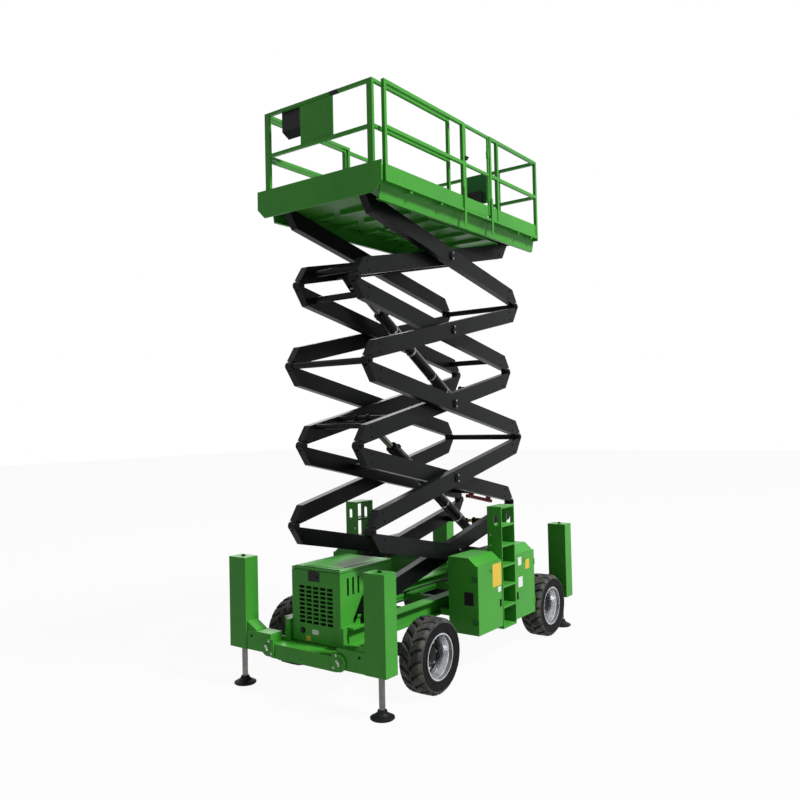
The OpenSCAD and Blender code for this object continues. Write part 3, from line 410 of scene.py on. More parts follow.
def cuts(piece: Piece, places: Iterable[float], along: Axis) -> Piece:
    """Cuts a piece across an axis at places, keeping both halves, and returns it."""
    choose(piece)
    bpy.ops.object.mode_set(mode="EDIT")
    for place in places:
        bpy.ops.mesh.select_all(action="SELECT")
        bpy.ops.mesh.bisect(plane_co=along.value * place, plane_no=along.value)
    bpy.ops.object.mode_set(mode="OBJECT")
    return piece


def weld(pieces: Sequence[Piece]) -> Piece:
    """Joins pieces to one and returns it."""
    choose(*pieces)
    if len(pieces) > 1:
        bpy.ops.object.join()
    return bpy.context.object


def copy_at(model: Piece, place: Matrix) -> Piece:
    """Returns a copy of a model at a place, with a mesh of its own."""
    copy = model.copy()
    copy.data = model.data.copy()
    copy.data.transform(place)
    bpy.context.scene.collection.objects.link(copy)
    return copy


def copies(model: Piece, places: Sequence[Matrix]) -> Piece:
    """Sets copies of a model at places and joins them; the model itself goes.

    Args:
        model: Piece modelled at the origin.
        places: Where each copy stands.

    Returns:
        All copies as one piece.
    """
    made = [copy_at(model, place) for place in places]
    bpy.data.objects.remove(model)
    return weld(made)


def fit(piece: Piece, name: str, body: str, coat: Coat, smooth_deg: float = 35.0) -> None:
    """Names, paints and smooths a finished piece and sets it on its body.

    Args:
        piece: Finished piece, at the origin.
        name: Its name.
        body: CAD body that it rides on.
        coat: Its finish.
        smooth_deg: Edges flatter than this are shaded smooth.
    """
    settle(piece)
    piece.name = name
    piece.data.name = name
    piece.data.materials.clear()
    piece.data.materials.append(coat.material())
    bpy.ops.object.shade_smooth_by_angle(angle=math.radians(smooth_deg))
    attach(piece, body)
    LOG.info("%s on %s: %d faces", name, body, len(piece.data.polygons))


class Outline(Enum):
    """Outlines of turned pieces, as distance from the axis and place along it, in millimetres."""

    HUB = ((239.2, -13.5), (201, 0), (117.5, 0), (114, 8), (99, 49), (83, 64.5),
           (60, 65.5), (56, 74), (30, 78), (0, 78))
    RIM_STEPS = ((239.8, -28), (227, -16), (227, 30), (233.5, 40), (233.5, 82), (239.8, 94))
    WIPER_RING = ((33.5, 0), (33.5, -18), (50, -18), (57, -12), (57, 0), (33.5, 0))
    CAP = ((0, 20), (24, 20), (28, 16), (30, 6), (36, 4), (36, -2))
    STUD = ((0, 3.5), (5, 3), (7.5, -1))
    COIL = ((0, 70), (8, 70), (10, 60), (21, 58), (23, 54), (23, 12), (21, 8), (13, 6), (13, -4))
    KNOB = ((0, 30), (10, 29), (14, 22), (12, 12), (6, 8), (6, -2))
    STICK = ((0, 118), (12, 116), (17, 106), (17, 66), (11, 52), (8, 44),
             (16, 36), (14, 30), (22, 22), (20, 16), (30, 8), (36, 0))
    BUTTON = ((0, 13), (11, 12), (13, 9), (13, 4), (17, 3), (18, -1))
    STOP = ((0, 34), (18, 32), (22, 26), (20, 18), (11, 15), (11, 4), (24, 0))

    def turned(self, steps: int) -> Piece:
        """Returns a piece turned to the outline, with that many faces round it."""
        return lathe([(r * MM, y * MM) for r, y in self.value], steps)


def facing(point: Point, normal: Vector, turn: float = 0.0) -> Matrix:
    """Place of a model that stands on a surface.

    Args:
        point: Foot of the model.
        normal: Direction of the model's own z axis.
        turn: Turn about that axis, in radians.

    Returns:
        The matrix of the place.
    """
    stand = normal.to_track_quat("Z", "Y").to_matrix().to_4x4()
    return Matrix.Translation(Vector(point)) @ stand @ Matrix.Rotation(turn, 4, "Z")


def on_side(x: float, y: float, z: float, side: int) -> Matrix:
    """Place of a model that stands out from the machine's left side, or its right where side is -1."""
    return facing((x, side * y, z), Vector((0, side, 0)))


def on_end(x: float, y: float, z: float, corner: tuple[int, int], turn: float = 0.0) -> Matrix:
    """Place of a model that stands out from the machine's front or rear, at a corner's side."""
    end, side = corner
    return facing((end * x, side * y, z), Vector((end, 0, 0)), turn)


@dataclass(frozen=True)
class Bolt:
    """Hexagon bolt head on a washer; sizes in millimetres."""

    head_r: float
    head_h: float
    washer_r: float
    washer_h: float
    washer_sunk: float = 1
    edge_share: float = 0.15

    def model(self) -> Piece:
        """Models one head at the origin, standing along z."""
        foot, top = (0, 0, self.washer_h * MM), (0, 0, (self.washer_h + self.head_h) * MM)
        washer = drum((0, 0, -self.washer_sunk * MM), foot, self.washer_r * MM, 16)
        return weld([washer, drum(foot, top, self.head_r * MM, 6, self.head_h * self.edge_share * MM)])

    def set_at(self, places: Sequence[Matrix], name: str, body: str, coat: Coat = Coat.ZINC) -> None:
        """Sets heads at places as one piece that rides on a body."""
        fit(copies(self.model(), places), name, body, coat)


@dataclass(frozen=True)
class Keeper:
    """Flat keeper plate with a bolt near each end; sizes in millimetres."""

    long: float
    wide: float
    thick: float = 8
    sunk: float = 2
    edge: float = 2.5
    bolt: Bolt = Bolt(10, 7, 12.5, 2)
    bolt_share: float = 0.64

    def set_at(self, places: Sequence[Matrix], name: str, body: str, coat: Coat) -> None:
        """Sets plates at places as one piece that rides on a body, and their bolts as another."""
        half_w, half_l, top = self.wide * MM / 2, self.long * MM / 2, self.thick * MM
        plate = cuboid((-half_w, -half_l, -self.sunk * MM), (half_w, half_l, top), self.edge * MM)
        fit(copies(plate, places), f"{name}_plates", body, coat)
        ends = [place @ Matrix.Translation((0, side * half_l * self.bolt_share, top))
                for place in places for side in SIDES]
        self.bolt.set_at(ends, f"{name}_bolts", body)


def joint_place(name: str) -> Vector:
    """Returns a joint's place at rest."""
    return next(Vector(j["pos_m"]) for j in frame["joints"] if j["name"] == name)


# Sub-assemblies


@dataclass
class PaintShop:
    """Finishes on the CAD pieces, by how their names start."""

    by_start: dict[str, Coat] = field(default_factory=lambda: {
        "outer_": Coat.CHARCOAL, "inner_": Coat.CHARCOAL, "axle": Coat.BLACK, "knuckle": Coat.BLACK,
        "engine_block": Coat.BLACK, "control_box": Coat.TRIM, "tyre": Coat.TYRE, "rim": Coat.SILVER,
        "jack_foot": Coat.BLACK, "jack_rod": Coat.CHROME, "barrel": Coat.BLACK, "rod_": Coat.CHROME,
        "safety_prop": Coat.RED, "document_box": Coat.DARK_GREEN})

    def coat_of(self, node: str) -> Coat:
        """Returns the finish of a CAD piece, which is green where no start fits."""
        return next((coat for start, coat in self.by_start.items() if node.startswith(start)), Coat.GREEN)

    def paint(self) -> None:
        """Gives every CAD piece its finish."""
        for name, piece in frame["nodes"].items():
            piece.data.materials.clear()
            piece.data.materials.append(self.coat_of(name).material())


@dataclass
class WheelSet:
    """Chevron tyres, hubs and nuts of the wheels; a left wheel is modelled with its middle at the origin."""

    radius: float = 0.4195
    half_w: float = 0.155
    rim_r: float = 0.2545
    carcass_r: float = 0.392
    wall_r: float = 0.364
    lugs_a_side: int = 20
    lug_cuts: Point = (0.12, 0.25, 0.4, 0.56, 0.72, 0.88)
    shoulder: float = 0.72
    slant: float = 0.235
    slant_bend: float = 1.35
    dish_y: float = -0.039
    nut: Bolt = Bolt(15, 17, 20, 4)
    nuts: int = 8
    nut_ring_r: float = 0.155
    smooth_deg: float = 40

    def carcass(self) -> Piece:
        """Spins the tyre's body under its lugs, with a rib round each bead and each shoulder."""
        insets = ((self.rim_r, 0.0265), (0.275, 0.0265), (0.275, 0.013), (0.258, 0.0125),
                  (0.2565, 0.0105), (0.26, 0.008), (0.286, 0.007), (0.29, 0.011), (0.3, 0.011),
                  (0.34, 0.006), (0.362, 0.0075), (0.366, 0.0025), (0.374, 0.002), (0.38, 0.01),
                  (self.carcass_r - 0.004, 0.045))
        side = [(r, self.half_w - inset) for r, inset in insets] + [(self.carcass_r, 0.06)]
        inner = [(r, -y) for r, y in side]
        return lathe(inner + side[::-1] + [inner[0]], 72)

    def lug(self) -> Piece:
        """Models one lug that runs slanting back from the crown's middle over the left shoulder."""
        piece = cuts(cuboid((0, -1, 0), (1, 1, 1)), self.lug_cuts, Axis.X)

        def shape(at: Vector) -> Point:
            """Bends the bar's length at.x, width at.y and height at.z round the tyre."""
            over = max(0.0, (at.x - self.shoulder) / (1 - self.shoulder))
            along = min(at.x, self.shoulder) / self.shoulder
            y = -0.01 + along * (self.half_w - 0.028) + over * 0.032
            foot = self.carcass_r - 0.008 - over * 0.022
            top = self.radius - 0.003 * along ** 2 - over * 0.032
            r = foot + (top - foot) * at.z
            bend = math.sin(along * self.slant_bend) / math.sin(self.slant_bend)
            wide = 0.039 + 0.009 * along + 0.002 * over
            turn = -self.slant * bend - 0.015 * over + at.y * wide / self.radius * (1.2 - 0.24 * at.z)
            return r * math.sin(turn), y, r * math.cos(turn)

        return bevel(mould(piece, shape), width=0.004)

    def tyre(self) -> Piece:
        """Models one whole tyre, its right lugs half a pitch behind the left ones."""
        pitch = math.tau / self.lugs_a_side
        places = []
        for i in range(self.lugs_a_side):
            places.append(Matrix.Rotation(i * pitch, 4, "Y"))
            places.append(Matrix.Rotation((i + 0.5) * pitch, 4, "Y") @ MIRROR_Y)
        lugs = face_out(copies(self.lug(), places))
        return weld([self.carcass(), lugs])

    def darken_walls(self, tyre: Piece, middle: Vector) -> None:
        """Gives the walls of a tyre their own rubber, up to where its tread starts."""
        tyre.data.materials.append(Coat.WALL.material())
        for face in tyre.data.polygons:
            out = face.center - middle
            face.material_index = int(math.hypot(out.x, out.z) < self.wall_r)

    def hub(self) -> Piece:
        """Spins the dark hub and disc cover that stands in the rim's dish."""
        base = self.dish_y + 0.0005
        return lathe([(r * MM, base + y * MM) for r, y in Outline.HUB.value], 48)

    def nut_places(self) -> list[Matrix]:
        """Returns where the nuts of a left wheel stand."""
        angles = (math.tau * i / self.nuts for i in range(self.nuts))
        ring = self.nut_ring_r
        return [facing((ring * math.sin(a), self.dish_y, ring * math.cos(a)), Axis.Y.value) for a in angles]

    def build(self) -> None:
        """Sets tyres, hubs and nuts on the four wheels."""
        tyre, hub, steps = self.tyre(), self.hub(), Outline.RIM_STEPS.turned(60)
        for wheel in WHEELS:
            body = f"wheel_{wheel}"
            spot = Matrix.Translation(joint_place(f"wheel_{wheel}_spin"))
            if wheel.endswith("r"):
                spot = spot @ Matrix.Rotation(math.pi, 4, "Z")
            for model, name, coat in ((tyre, "tread_tyre", Coat.TYRE), (hub, "hub_cover", Coat.BLACK),
                                      (steps, "rim_steps", Coat.SILVER)):
                copy = copy_at(model, spot)
                fit(copy, f"{name}_{wheel}", body, coat, self.smooth_deg)
                if model == tyre:
                    self.darken_walls(copy, spot.translation)
                    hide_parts(f"tyre_{wheel}")
            self.nut.set_at([spot @ place for place in self.nut_places()], f"wheel_nuts_{wheel}", body)
        for model in (tyre, hub, steps):
            bpy.data.objects.remove(model)


@dataclass
class OutriggerTrim:
    """Plugs, wiper rings, pin keepers and ear bolts of the four outrigger legs."""

    leg_x: float = 2.135
    mid_y: float = 1.015
    top: float = 1.483
    bottom: float = 0.44
    pin: Point = (2.253, 0.53, 0.51)
    ears: Sequence[Point] = ((2.243, 0.462, 0.452), (2.243, 0.5, 0.585))
    arm: Point = (2.225, 0.8, 0.6)
    plug: Bolt = Bolt(20, 14, 29, 5)
    keeper: Keeper = Keeper(72, 24, 6)
    keeper_turn: float = math.radians(35)
    ear_bolt: Bolt = Bolt(10, 8, 14, 3)
    arm_bolt: Bolt = Bolt(11, 8, 15, 3)

    def build(self) -> None:
        """Dresses the four legs."""
        corners = [(end, side) for end in SIDES for side in SIDES]
        legs = [(end * self.leg_x, side * self.mid_y) for end, side in corners]
        rings = [Matrix.Translation((*leg, self.bottom)) @ UPRIGHT for leg in legs]
        fit(copies(Outline.WIPER_RING.turned(40), rings), "jack_wiper_rings", "chassis", Coat.TRIM)
        plugs = [facing((*leg, self.top), Axis.Z.value) for leg in legs]
        self.plug.set_at(plugs, "column_plugs", "chassis", Coat.TRIM)
        pins = [on_end(*self.pin, corner, self.keeper_turn) for corner in corners]
        self.keeper.set_at(pins, "leg_pin_keepers", "chassis", Coat.ZINC)
        ears = [on_end(*ear, corner) for corner in corners for ear in self.ears]
        self.ear_bolt.set_at(ears, "ear_bolts", "chassis")
        arms = [on_end(*self.arm, corner) for corner in corners]
        self.arm_bolt.set_at(arms, "leg_arm_bolts", "chassis", Coat.BLACK)


@dataclass
class HoodTrim:
    """Seal, latch, cap, blank plates, radiator and lid panel of the engine hood."""

    front_x: float = 2.0
    rear_x: float = 1.07
    half_w: float = 0.36
    lid_z: float = 1.381
    top_z: float = 1.405
    fins: int = 41
    fin_low: float = 0.64
    fin_pitch: float = 0.0165

    def seal(self) -> None:
        """Lays the black seal between lid and hood."""
        strip = panel((self.rear_x - 0.001, -self.half_w - 0.0015, self.lid_z - 0.0065),
                      (self.front_x - 0.0245, self.half_w + 0.0015, self.lid_z - 0.0005),
                      0.0015, 1, Axis.Z, 0.02, 0.004)
        fit(strip, "hood_seal", "chassis", Coat.TRIM)

    def door_fittings(self) -> None:
        """Sets latch, filler cap and blank plates on the grille door."""
        x = self.front_x
        dish = panel((x - 0.01, -0.105, 1.258), (x + 0.006, 0.06, 1.372), 0.004, 2, Axis.X, 0.012, 0.0045)
        paddle = cuboid((x - 0.006, -0.075, 1.28), (x + 0.005, 0.03, 1.33), 0.003, 2)
        fit(weld([dish, paddle]), "hood_latch", "hood_door", Coat.TRIM)
        cap = mould(Outline.CAP.turned(28), lambda at: (x + at.y, at.x - 0.2, at.z + 0.7))
        fit(cap, "hood_round_cap", "hood_door", Coat.TRIM)
        for name, low, high, coat in (("white", (-0.06, 0.672), (0.035, 0.725), Coat.WHITE),
                                      ("yellow", (-0.154, 0.59), (-0.086, 0.645), Coat.YELLOW)):
            plate = cuboid((x - 0.001, *low), (x + 0.0012, *high), PLATE_EDGE)
            fit(plate, f"hood_plate_{name}", "hood_door", coat)

    def radiator(self) -> None:
        """Stands a finned radiator core and slot screens inside the hood."""
        x = self.front_x - 0.075
        core = panel((x - 0.05, -0.315, 0.6), (x, 0.315, 1.345), 0.003, 1, Axis.X, 0.028, 0.014)
        fin = cuboid((x - 0.016, -0.285, -0.002), (x - 0.004, 0.285, 0.002), 0.0012)
        rows = [Matrix.Translation((0, 0, self.fin_low + self.fin_pitch * i)) for i in range(self.fins)]
        fit(weld([core, copies(fin, rows)]), "radiator_core", "chassis", Coat.BLACK)
        y = self.half_w - 0.032
        screens = [panel((1.64, low, 1.095), (1.905, low + 0.004, 1.33), 0.001, 1, look, 0.012, 0.002)
                   for low, look in ((y, Axis.Y), (-y - 0.004, Axis.RIGHT))]
        fit(weld(screens), "hood_slot_screens", "chassis", Coat.TRIM)

    def lid(self) -> None:
        """Raises the pressed panel of the lid and lays the black lip along its front."""
        raised = panel((self.rear_x + 0.09, -0.27, self.top_z - 0.004),
                       (self.front_x - 0.11, 0.27, self.top_z + 0.005), 0.004, 2, Axis.Z, 0.05, 0.004)
        fit(raised, "hood_lid_panel", "hood_lid", Coat.GREEN)
        lip = panel((self.front_x - 0.04, -0.335, self.top_z - 0.002),
                    (self.front_x - 0.016, 0.335, self.top_z + 0.007), 0.003, 2, Axis.Z, 0.006, 0.002)
        fit(lip, "hood_lid_lip", "hood_lid", Coat.TRIM)

    def build(self) -> None:
        """Dresses the engine hood."""
        self.seal()
        self.door_fittings()
        self.radiator()
        self.lid()


@dataclass
class CabinetTrim:
    """Hinges, locks, blank plates and vents of the side cabinets."""

    front_x: float = 0.4
    rear_x: float = -1.06
    face_y: float = 1.14

    def hinges(self) -> None:
        """Sets two hinges at each end of both cabinets."""
        hinge = panel((-0.007, -0.03, -0.036), (0.01, 0.044, 0.036), 0.004, 2, Axis.X, 0.012, 0.003)
        y = self.face_y - 0.055
        places = [Matrix.Translation((end_x, side * y, z)) @ Matrix.Diagonal((look, side, 1, 1))
                  for side in SIDES for end_x, look in ((self.front_x, 1), (self.rear_x, -1))
                  for z in (0.605, 1.11)]
        fit(copies(hinge, places), "cabinet_hinges", "chassis", Coat.DARK_GREEN)

    def locks(self) -> None:
        """Sets a sunk lock with its handle on each of the four doors."""
        for body, x, side in (("door_left_front", -0.135, 1), ("door_left_rear", -0.58, 1),
                              ("door_right_front", 0.165, -1), ("door_right_rear", -0.285, -1)):
            y = side * self.face_y
            dish = panel((x - 0.02, y - 0.006, 0.695), (x + 0.02, y + 0.006, 0.785), 0.004, 2,
                         Axis.Y if side > 0 else Axis.RIGHT, 0.007, 0.006)
            handle = cuboid((x - 0.008, y - 0.004, 0.71), (x + 0.008, y + 0.007, 0.77), 0.003, 2)
            fit(weld([dish, handle]), f"{body}_lock", body, Coat.TRIM)

    def plates(self) -> None:
        """Sticks the blank plates on the doors."""
        half_t = 0.0012
        for body, mark, x0, x1, z0, z1, coat in (
                ("door_left_front", "a", -0.165, 0.05, 0.96, 1.24, Coat.YELLOW),
                ("door_left_front", "b", -0.15, -0.075, 0.88, 0.945, Coat.WHITE),
                ("door_left_rear", "a", -0.92, -0.81, 1.045, 1.17, Coat.YELLOW),
                ("door_left_rear", "b", -0.7, -0.61, 1.12, 1.225, Coat.WHITE),
                ("door_left_rear", "c", -0.725, -0.61, 0.84, 0.97, Coat.WHITE),
                ("door_right_front", "a", 0.2, 0.345, 0.985, 1.165, Coat.YELLOW),
                ("door_right_rear", "a", -0.98, -0.86, 1.075, 1.165, Coat.WHITE)):
            y = self.face_y * (1 if "left" in body else -1)
            plate = cuboid((x0, y - half_t, z0), (x1, y + half_t, z1), PLATE_EDGE)
            fit(plate, f"{body}_plate_{mark}", body, coat)

    def vents(self) -> None:
        """Frames the vent in the front end of each cabinet."""
        rim = panel((self.front_x - 0.004, 0.942, 0.792), (self.front_x + 0.005, 1.073, 0.953),
                    0.003, 1, Axis.X, 0.008, 0.006)
        rims = copies(rim, [Matrix.Identity(4), MIRROR_Y])
        fit(rims, "cabinet_vents", "chassis", Coat.TRIM)

    def build(self) -> None:
        """Dresses both cabinets and their four doors."""
        self.hinges()
        self.locks()
        self.plates()
        self.vents()


@dataclass
class LadderTrim:
    """Non-slip studs and bolts of the two ladders."""

    ladders: Sequence[tuple[float, int]] = ((-0.36, 1), (-0.06, -1))
    face_y: float = 1.145
    bottom: float = 0.4
    top: float = 1.92
    steps: int = 6
    step_t: float = 0.024
    studs_a_row: int = 9
    stud_pitch: float = 0.034
    stud_rows: Point = (0.018, 0.048)
    half_w: float = 0.17
    bolt: Bolt = Bolt(9, 7, 12, 2)

    def stud_places(self, mid: float, side: int) -> Iterable[Matrix]:
        """Yields the places of the studs on one ladder's steps."""
        pitch = (self.top - self.bottom) / self.steps
        for i in range(self.steps):
            z = self.bottom + i * pitch + self.step_t
            for j in range(self.studs_a_row):
                x = mid + (j - self.studs_a_row // 2) * self.stud_pitch
                for row in self.stud_rows:
                    yield Matrix.Translation((x, side * (self.face_y - row), z)) @ UPRIGHT

    def build(self) -> None:
        """Dresses both ladders."""
        studs = [place for mid, side in self.ladders for place in self.stud_places(mid, side)]
        fit(copies(Outline.STUD.turned(10), studs), "ladder_studs", "chassis", Coat.GREEN)
        y = self.face_y - 0.16
        bolts = [facing((mid + end * self.half_w, side * y, z), Vector((end, 0, 0)))
                 for mid, side in self.ladders for end in SIDES for z in (1.43, 1.56)]
        self.bolt.set_at(bolts, "ladder_bolts", "chassis")


@dataclass
class ArmTrim:
    """Keeper plates, pin bolts and wear-pad bolts of the scissor arms."""

    mid_x: float = 0.00809
    base_z: float = 0.8633
    stage_h: float = 0.94803
    stages: int = 5
    tilt_deg: float = 11.932
    half_u: float = 1.78173
    pin_off: float = 0.108
    pin_proud: float = 0.009
    pad_u: float = 1.56
    pad_v: float = 0.052
    outer_face: float = 0.63
    inner_face: float = 0.48
    cap_face: float = 0.646
    keeper: Keeper = Keeper(118, 34)
    pin_bolt: Bolt = Bolt(15, 10, 22, 3)
    pad_bolt: Bolt = Bolt(10, 7, 14, 2)

    def spot(self, stage: int, rise: int, u: float, v: float) -> tuple[float, float]:
        """Place of a point of an arm.

        Args:
            stage: Stage, 1 at the top.
            rise: 1 where the arm rises to the front, or -1.
            u: Distance along the arm from its centre pin.
            v: Distance square to it, upward.

        Returns:
            x and z in the machine's frame.
        """
        turn = math.radians(self.tilt_deg)
        x = self.mid_x + rise * (u * math.cos(turn) - v * math.sin(turn))
        middle = self.base_z + (self.stages + 0.5 - stage) * self.stage_h
        return x, middle + u * math.sin(turn) + v * math.cos(turn)

    def bolts(self, kind: str, stage: int, rise: int, face: float) -> None:
        """Sets the pin bolts and pad bolts of one arm frame.

        Args:
            kind: Whether it is an outer or an inner frame.
            stage: Stage, 1 at the top.
            rise: 1 where the frame rises to the front, or -1.
            face: Sideways place of its outer faces.
        """
        body = f"{kind}_{stage}"
        ends = SIDES if stage == self.stages else (1,)
        heads, pads = [], []
        for side in SIDES:
            for end in ends:
                x, z = self.spot(stage, rise, end * self.half_u, end * self.pin_off)
                heads.append(on_side(x, face + self.pin_proud, z, side))
            for end in SIDES:
                for v in (self.pad_v, -self.pad_v):
                    x, z = self.spot(stage, rise, end * self.pad_u, v)
                    pads.append(on_side(x, face, z, side))
        self.pin_bolt.set_at(heads, f"{body}_pin_bolts", body, Coat.BLACK)
        self.pad_bolt.set_at(pads, f"{body}_pad_bolts", body, Coat.BLACK)

    def build(self) -> None:
        """Dresses the ten arm frames."""
        for stage in range(1, self.stages + 1):
            rise = 1 if stage % 2 else -1
            x, z = self.spot(stage, 1, 0, 0)
            caps = [on_side(x, self.cap_face, z, side) for side in SIDES]
            self.keeper.set_at(caps, f"centre_keeper_{stage}", f"inner_{stage}", Coat.BLACK)
            self.bolts("outer", stage, rise, self.outer_face)
            self.bolts("inner", stage, -rise, self.inner_face)


@dataclass
class CylinderTrim:
    """Port blocks, hard lines, bands and valve coils of the two lift cylinders."""

    arms: ArmTrim
    barrel_r: float = 0.065
    base_u: float = 1.3
    eye_u: float = -1.0
    port_u: float = 0.17

    def dress(self, name: str, stage: int, base_v: float, eye_v: float, mid_y: float, length: float) -> None:
        """Dresses one cylinder.

        Args:
            name: Name of its barrel's body.
            stage: Stage of the arm that carries its base; the rod's is two stages up.
            base_v: Place of the base eye square to the arm.
            eye_v: Place of the rod's eye square to its arm.
            mid_y: Sideways place.
            length: Length of the barrel from its base eye.
        """
        base = self.arms.spot(stage, -1, self.base_u, base_v)
        eye = self.arms.spot(stage - 2, -1, self.eye_u, eye_v)
        turn = math.atan2(eye[1] - base[1], eye[0] - base[0])
        axis = Matrix.Translation((base[0], mid_y, base[1])) @ Matrix.Rotation(-turn, 4, "Y")
        along = axis @ Matrix.Rotation(-math.pi / 2, 4, "Z")
        r = self.barrel_r
        du, dy = 0.03, 0.026
        blocks = [cuboid((u - du, -dy, r - 0.006), (u + du, dy, r + 0.042), 0.004, 2)
                  for u in (self.port_u, length - 0.12)]
        fit(copies(weld(blocks), [axis]), f"{name}_ports", name, Coat.BLACK)
        line = tube([(0.19, 0, r + 0.025), (0.26, 0.012, r + 0.02), (0.4, 0.02, r + 0.012),
                     (length / 2, 0.02, r + 0.012), (length - 0.34, 0.02, r + 0.012),
                     (length - 0.22, 0.012, r + 0.02), (length - 0.14, 0, r + 0.025)], radius=0.009)
        fit(copies(line, [axis]), f"{name}_hard_line", name, Coat.ZINC)
        low, high, half = r - 0.001, r + 0.004, 0.014
        band = lathe([(low, -half), (high, -half), (high, half), (low, half)], 40)
        bands = [along @ Matrix.Translation((0, u, 0))
                 for u in (0.42, length * 0.36, length * 0.62, length - 0.36)]
        fit(copies(band, bands), f"{name}_bands", name, Coat.ZINC)
        spot = axis @ Matrix.Translation((self.port_u, 0.025, r + 0.018))
        fit(copies(Outline.COIL.turned(24), [spot]), f"{name}_coil", name, Coat.BRASS)

    def build(self) -> None:
        """Dresses both lift cylinders."""
        self.dress("barrel_lower", 5, base_v=-0.2, eye_v=-0.02, mid_y=0.0, length=2.255)
        self.dress("barrel_upper", 3, base_v=-0.3, eye_v=-0.23, mid_y=-0.18, length=2.2)


@dataclass
class PlatformTrim:
    """Post feet, document tray, gate fittings, grip and controls of the platform."""

    floor_z: float = 5.671
    rail_z: float = 6.75
    rail_y: float = 0.889
    left_posts: Point = (0.106, 1.719, -1.891, -0.571, -0.76)
    right_posts: Point = (-1.891, -0.76, 0.294, 1.719)
    foot_t: float = 0.007
    foot_in: float = 0.019
    foot_bolt: Bolt = Bolt(8, 6, 11, 2)
    tray_x: float = -1.7597
    slope_foot: Point = (1.6134, 0, 6.62)
    slope_head: Point = (1.7534, 0, 6.75)
    front_rail_x: float = 1.8327

    def feet(self) -> None:
        """Sets a foot plate with two bolts at each post of the main rails."""
        posts = [(x, 1) for x in self.left_posts] + [(x, -1) for x in self.right_posts]
        dx, dy = 0.062, 0.02
        first, last = -1.845, 1.675
        foot = cuboid((-dx, -dy, 0), (dx, dy, self.foot_t), 0.002)
        y = self.rail_y - self.foot_in
        spots = [Matrix.Translation((min(max(x, first), last), side * y, self.floor_z)) for x, side in posts]
        fit(copies(foot, spots), "post_feet", "platform", Coat.GREEN)
        bolts = [spot @ Matrix.Translation((d, -0.003 * side, self.foot_t))
                 for spot, (_, side) in zip(spots, posts) for d in (-0.045, 0.045)]
        self.foot_bolt.set_at(bolts, "post_foot_bolts", "platform")

    def tray(self) -> None:
        """Covers the document tray with black sheet, its front sunk."""
        x = self.tray_x
        low, high = 6.309, 6.482
        front = panel((x - 0.001, -0.251, low), (x + 0.003, 0.0515, high), 0.001, 1, Axis.X, 0.012, 0.002)
        side = cuboid((x - 0.084, 0.0495, low), (x + 0.002, 0.0525, high), 0.001)
        fit(weld([front, side]), "document_tray_cover", "platform", Coat.TRIM)

    def gate_fittings(self) -> None:
        """Sets the latch and its knob on the gate's free post, and the kick strip under its toe board."""
        case = panel((0.022, 0.902, 6.3), (0.077, 0.918, 6.35), 0.004, 2, Axis.Y, 0.01, 0.004)
        spot = Vector((0.05, 0.914, 6.325))
        knob = mould(Outline.KNOB.turned(20), lambda at: at + spot)
        fit(weld([case, knob]), "gate_latch", "gate", Coat.TRIM)
        strip = panel((-0.488, self.rail_y - 0.006, self.floor_z + 0.012),
                      (0.044, self.rail_y + 0.006, self.floor_z + 0.052), 0.002, 1, Axis.Y, 0.008, 0.0015)
        fit(strip, "gate_kick_strip", "gate", Coat.GREEN)

    def controls(self) -> None:
        """Sets joystick, buttons and stop button on the sloped face of the control box."""
        foot = Vector(self.slope_foot)
        along = Vector(self.slope_head) - foot
        normal = Vector((-along.z, 0, along.x)).normalized()

        def on_slope(share: float, y: float) -> Matrix:
            """Place on the box's sloped face at a share of its height."""
            return facing(foot + along * share + Vector((0, y, 0)), normal) @ UPRIGHT

        buttons = [on_slope(share, y) for share in (0.3, 0.68) for y in (-0.45, -0.41, -0.37)]
        for outline, steps, places, name, coat in (
                (Outline.STICK, 24, [on_slope(0.5, y=-0.515)], "joystick", Coat.TRIM),
                (Outline.BUTTON, 20, buttons, "control_buttons", Coat.ZINC),
                (Outline.STOP, 24, [on_slope(0.5, y=-0.325)], "stop_button", Coat.RED)):
            fit(copies(outline.turned(steps), places), name, "extension", coat)

    def guard_and_sleeve(self) -> None:
        """Bends the guard hoop round the control box and slips the grip sleeve on the front rail."""
        right, left, r = -0.582, -0.278, 0.008
        hoops = [tube([(1.798, y, 6.742), (1.738, y, 6.775), (1.668, y, 6.765), (1.6, y, 6.7),
                       (1.572, y, 6.62), (1.578, y, 6.53), (1.645, y, 6.5)], r) for y in (right, left)]
        bar = drum((1.575, right, 6.59), (1.575, left, 6.59), r, 12, 0.001)
        fit(weld([*hoops, bar]), "control_guard", "extension", Coat.TRIM)
        x, z, half = self.front_rail_x, self.rail_z, 0.0215
        sleeve = cuboid((x - half, 0.212, z - half), (x + half, 0.338, z + half), 0.006, 3)
        fit(sleeve, "rail_sleeve", "extension", Coat.TRIM)

    def build(self) -> None:
        """Dresses the platform."""
        self.feet()
        self.tray()
        self.gate_fittings()
        self.controls()
        self.guard_and_sleeve()


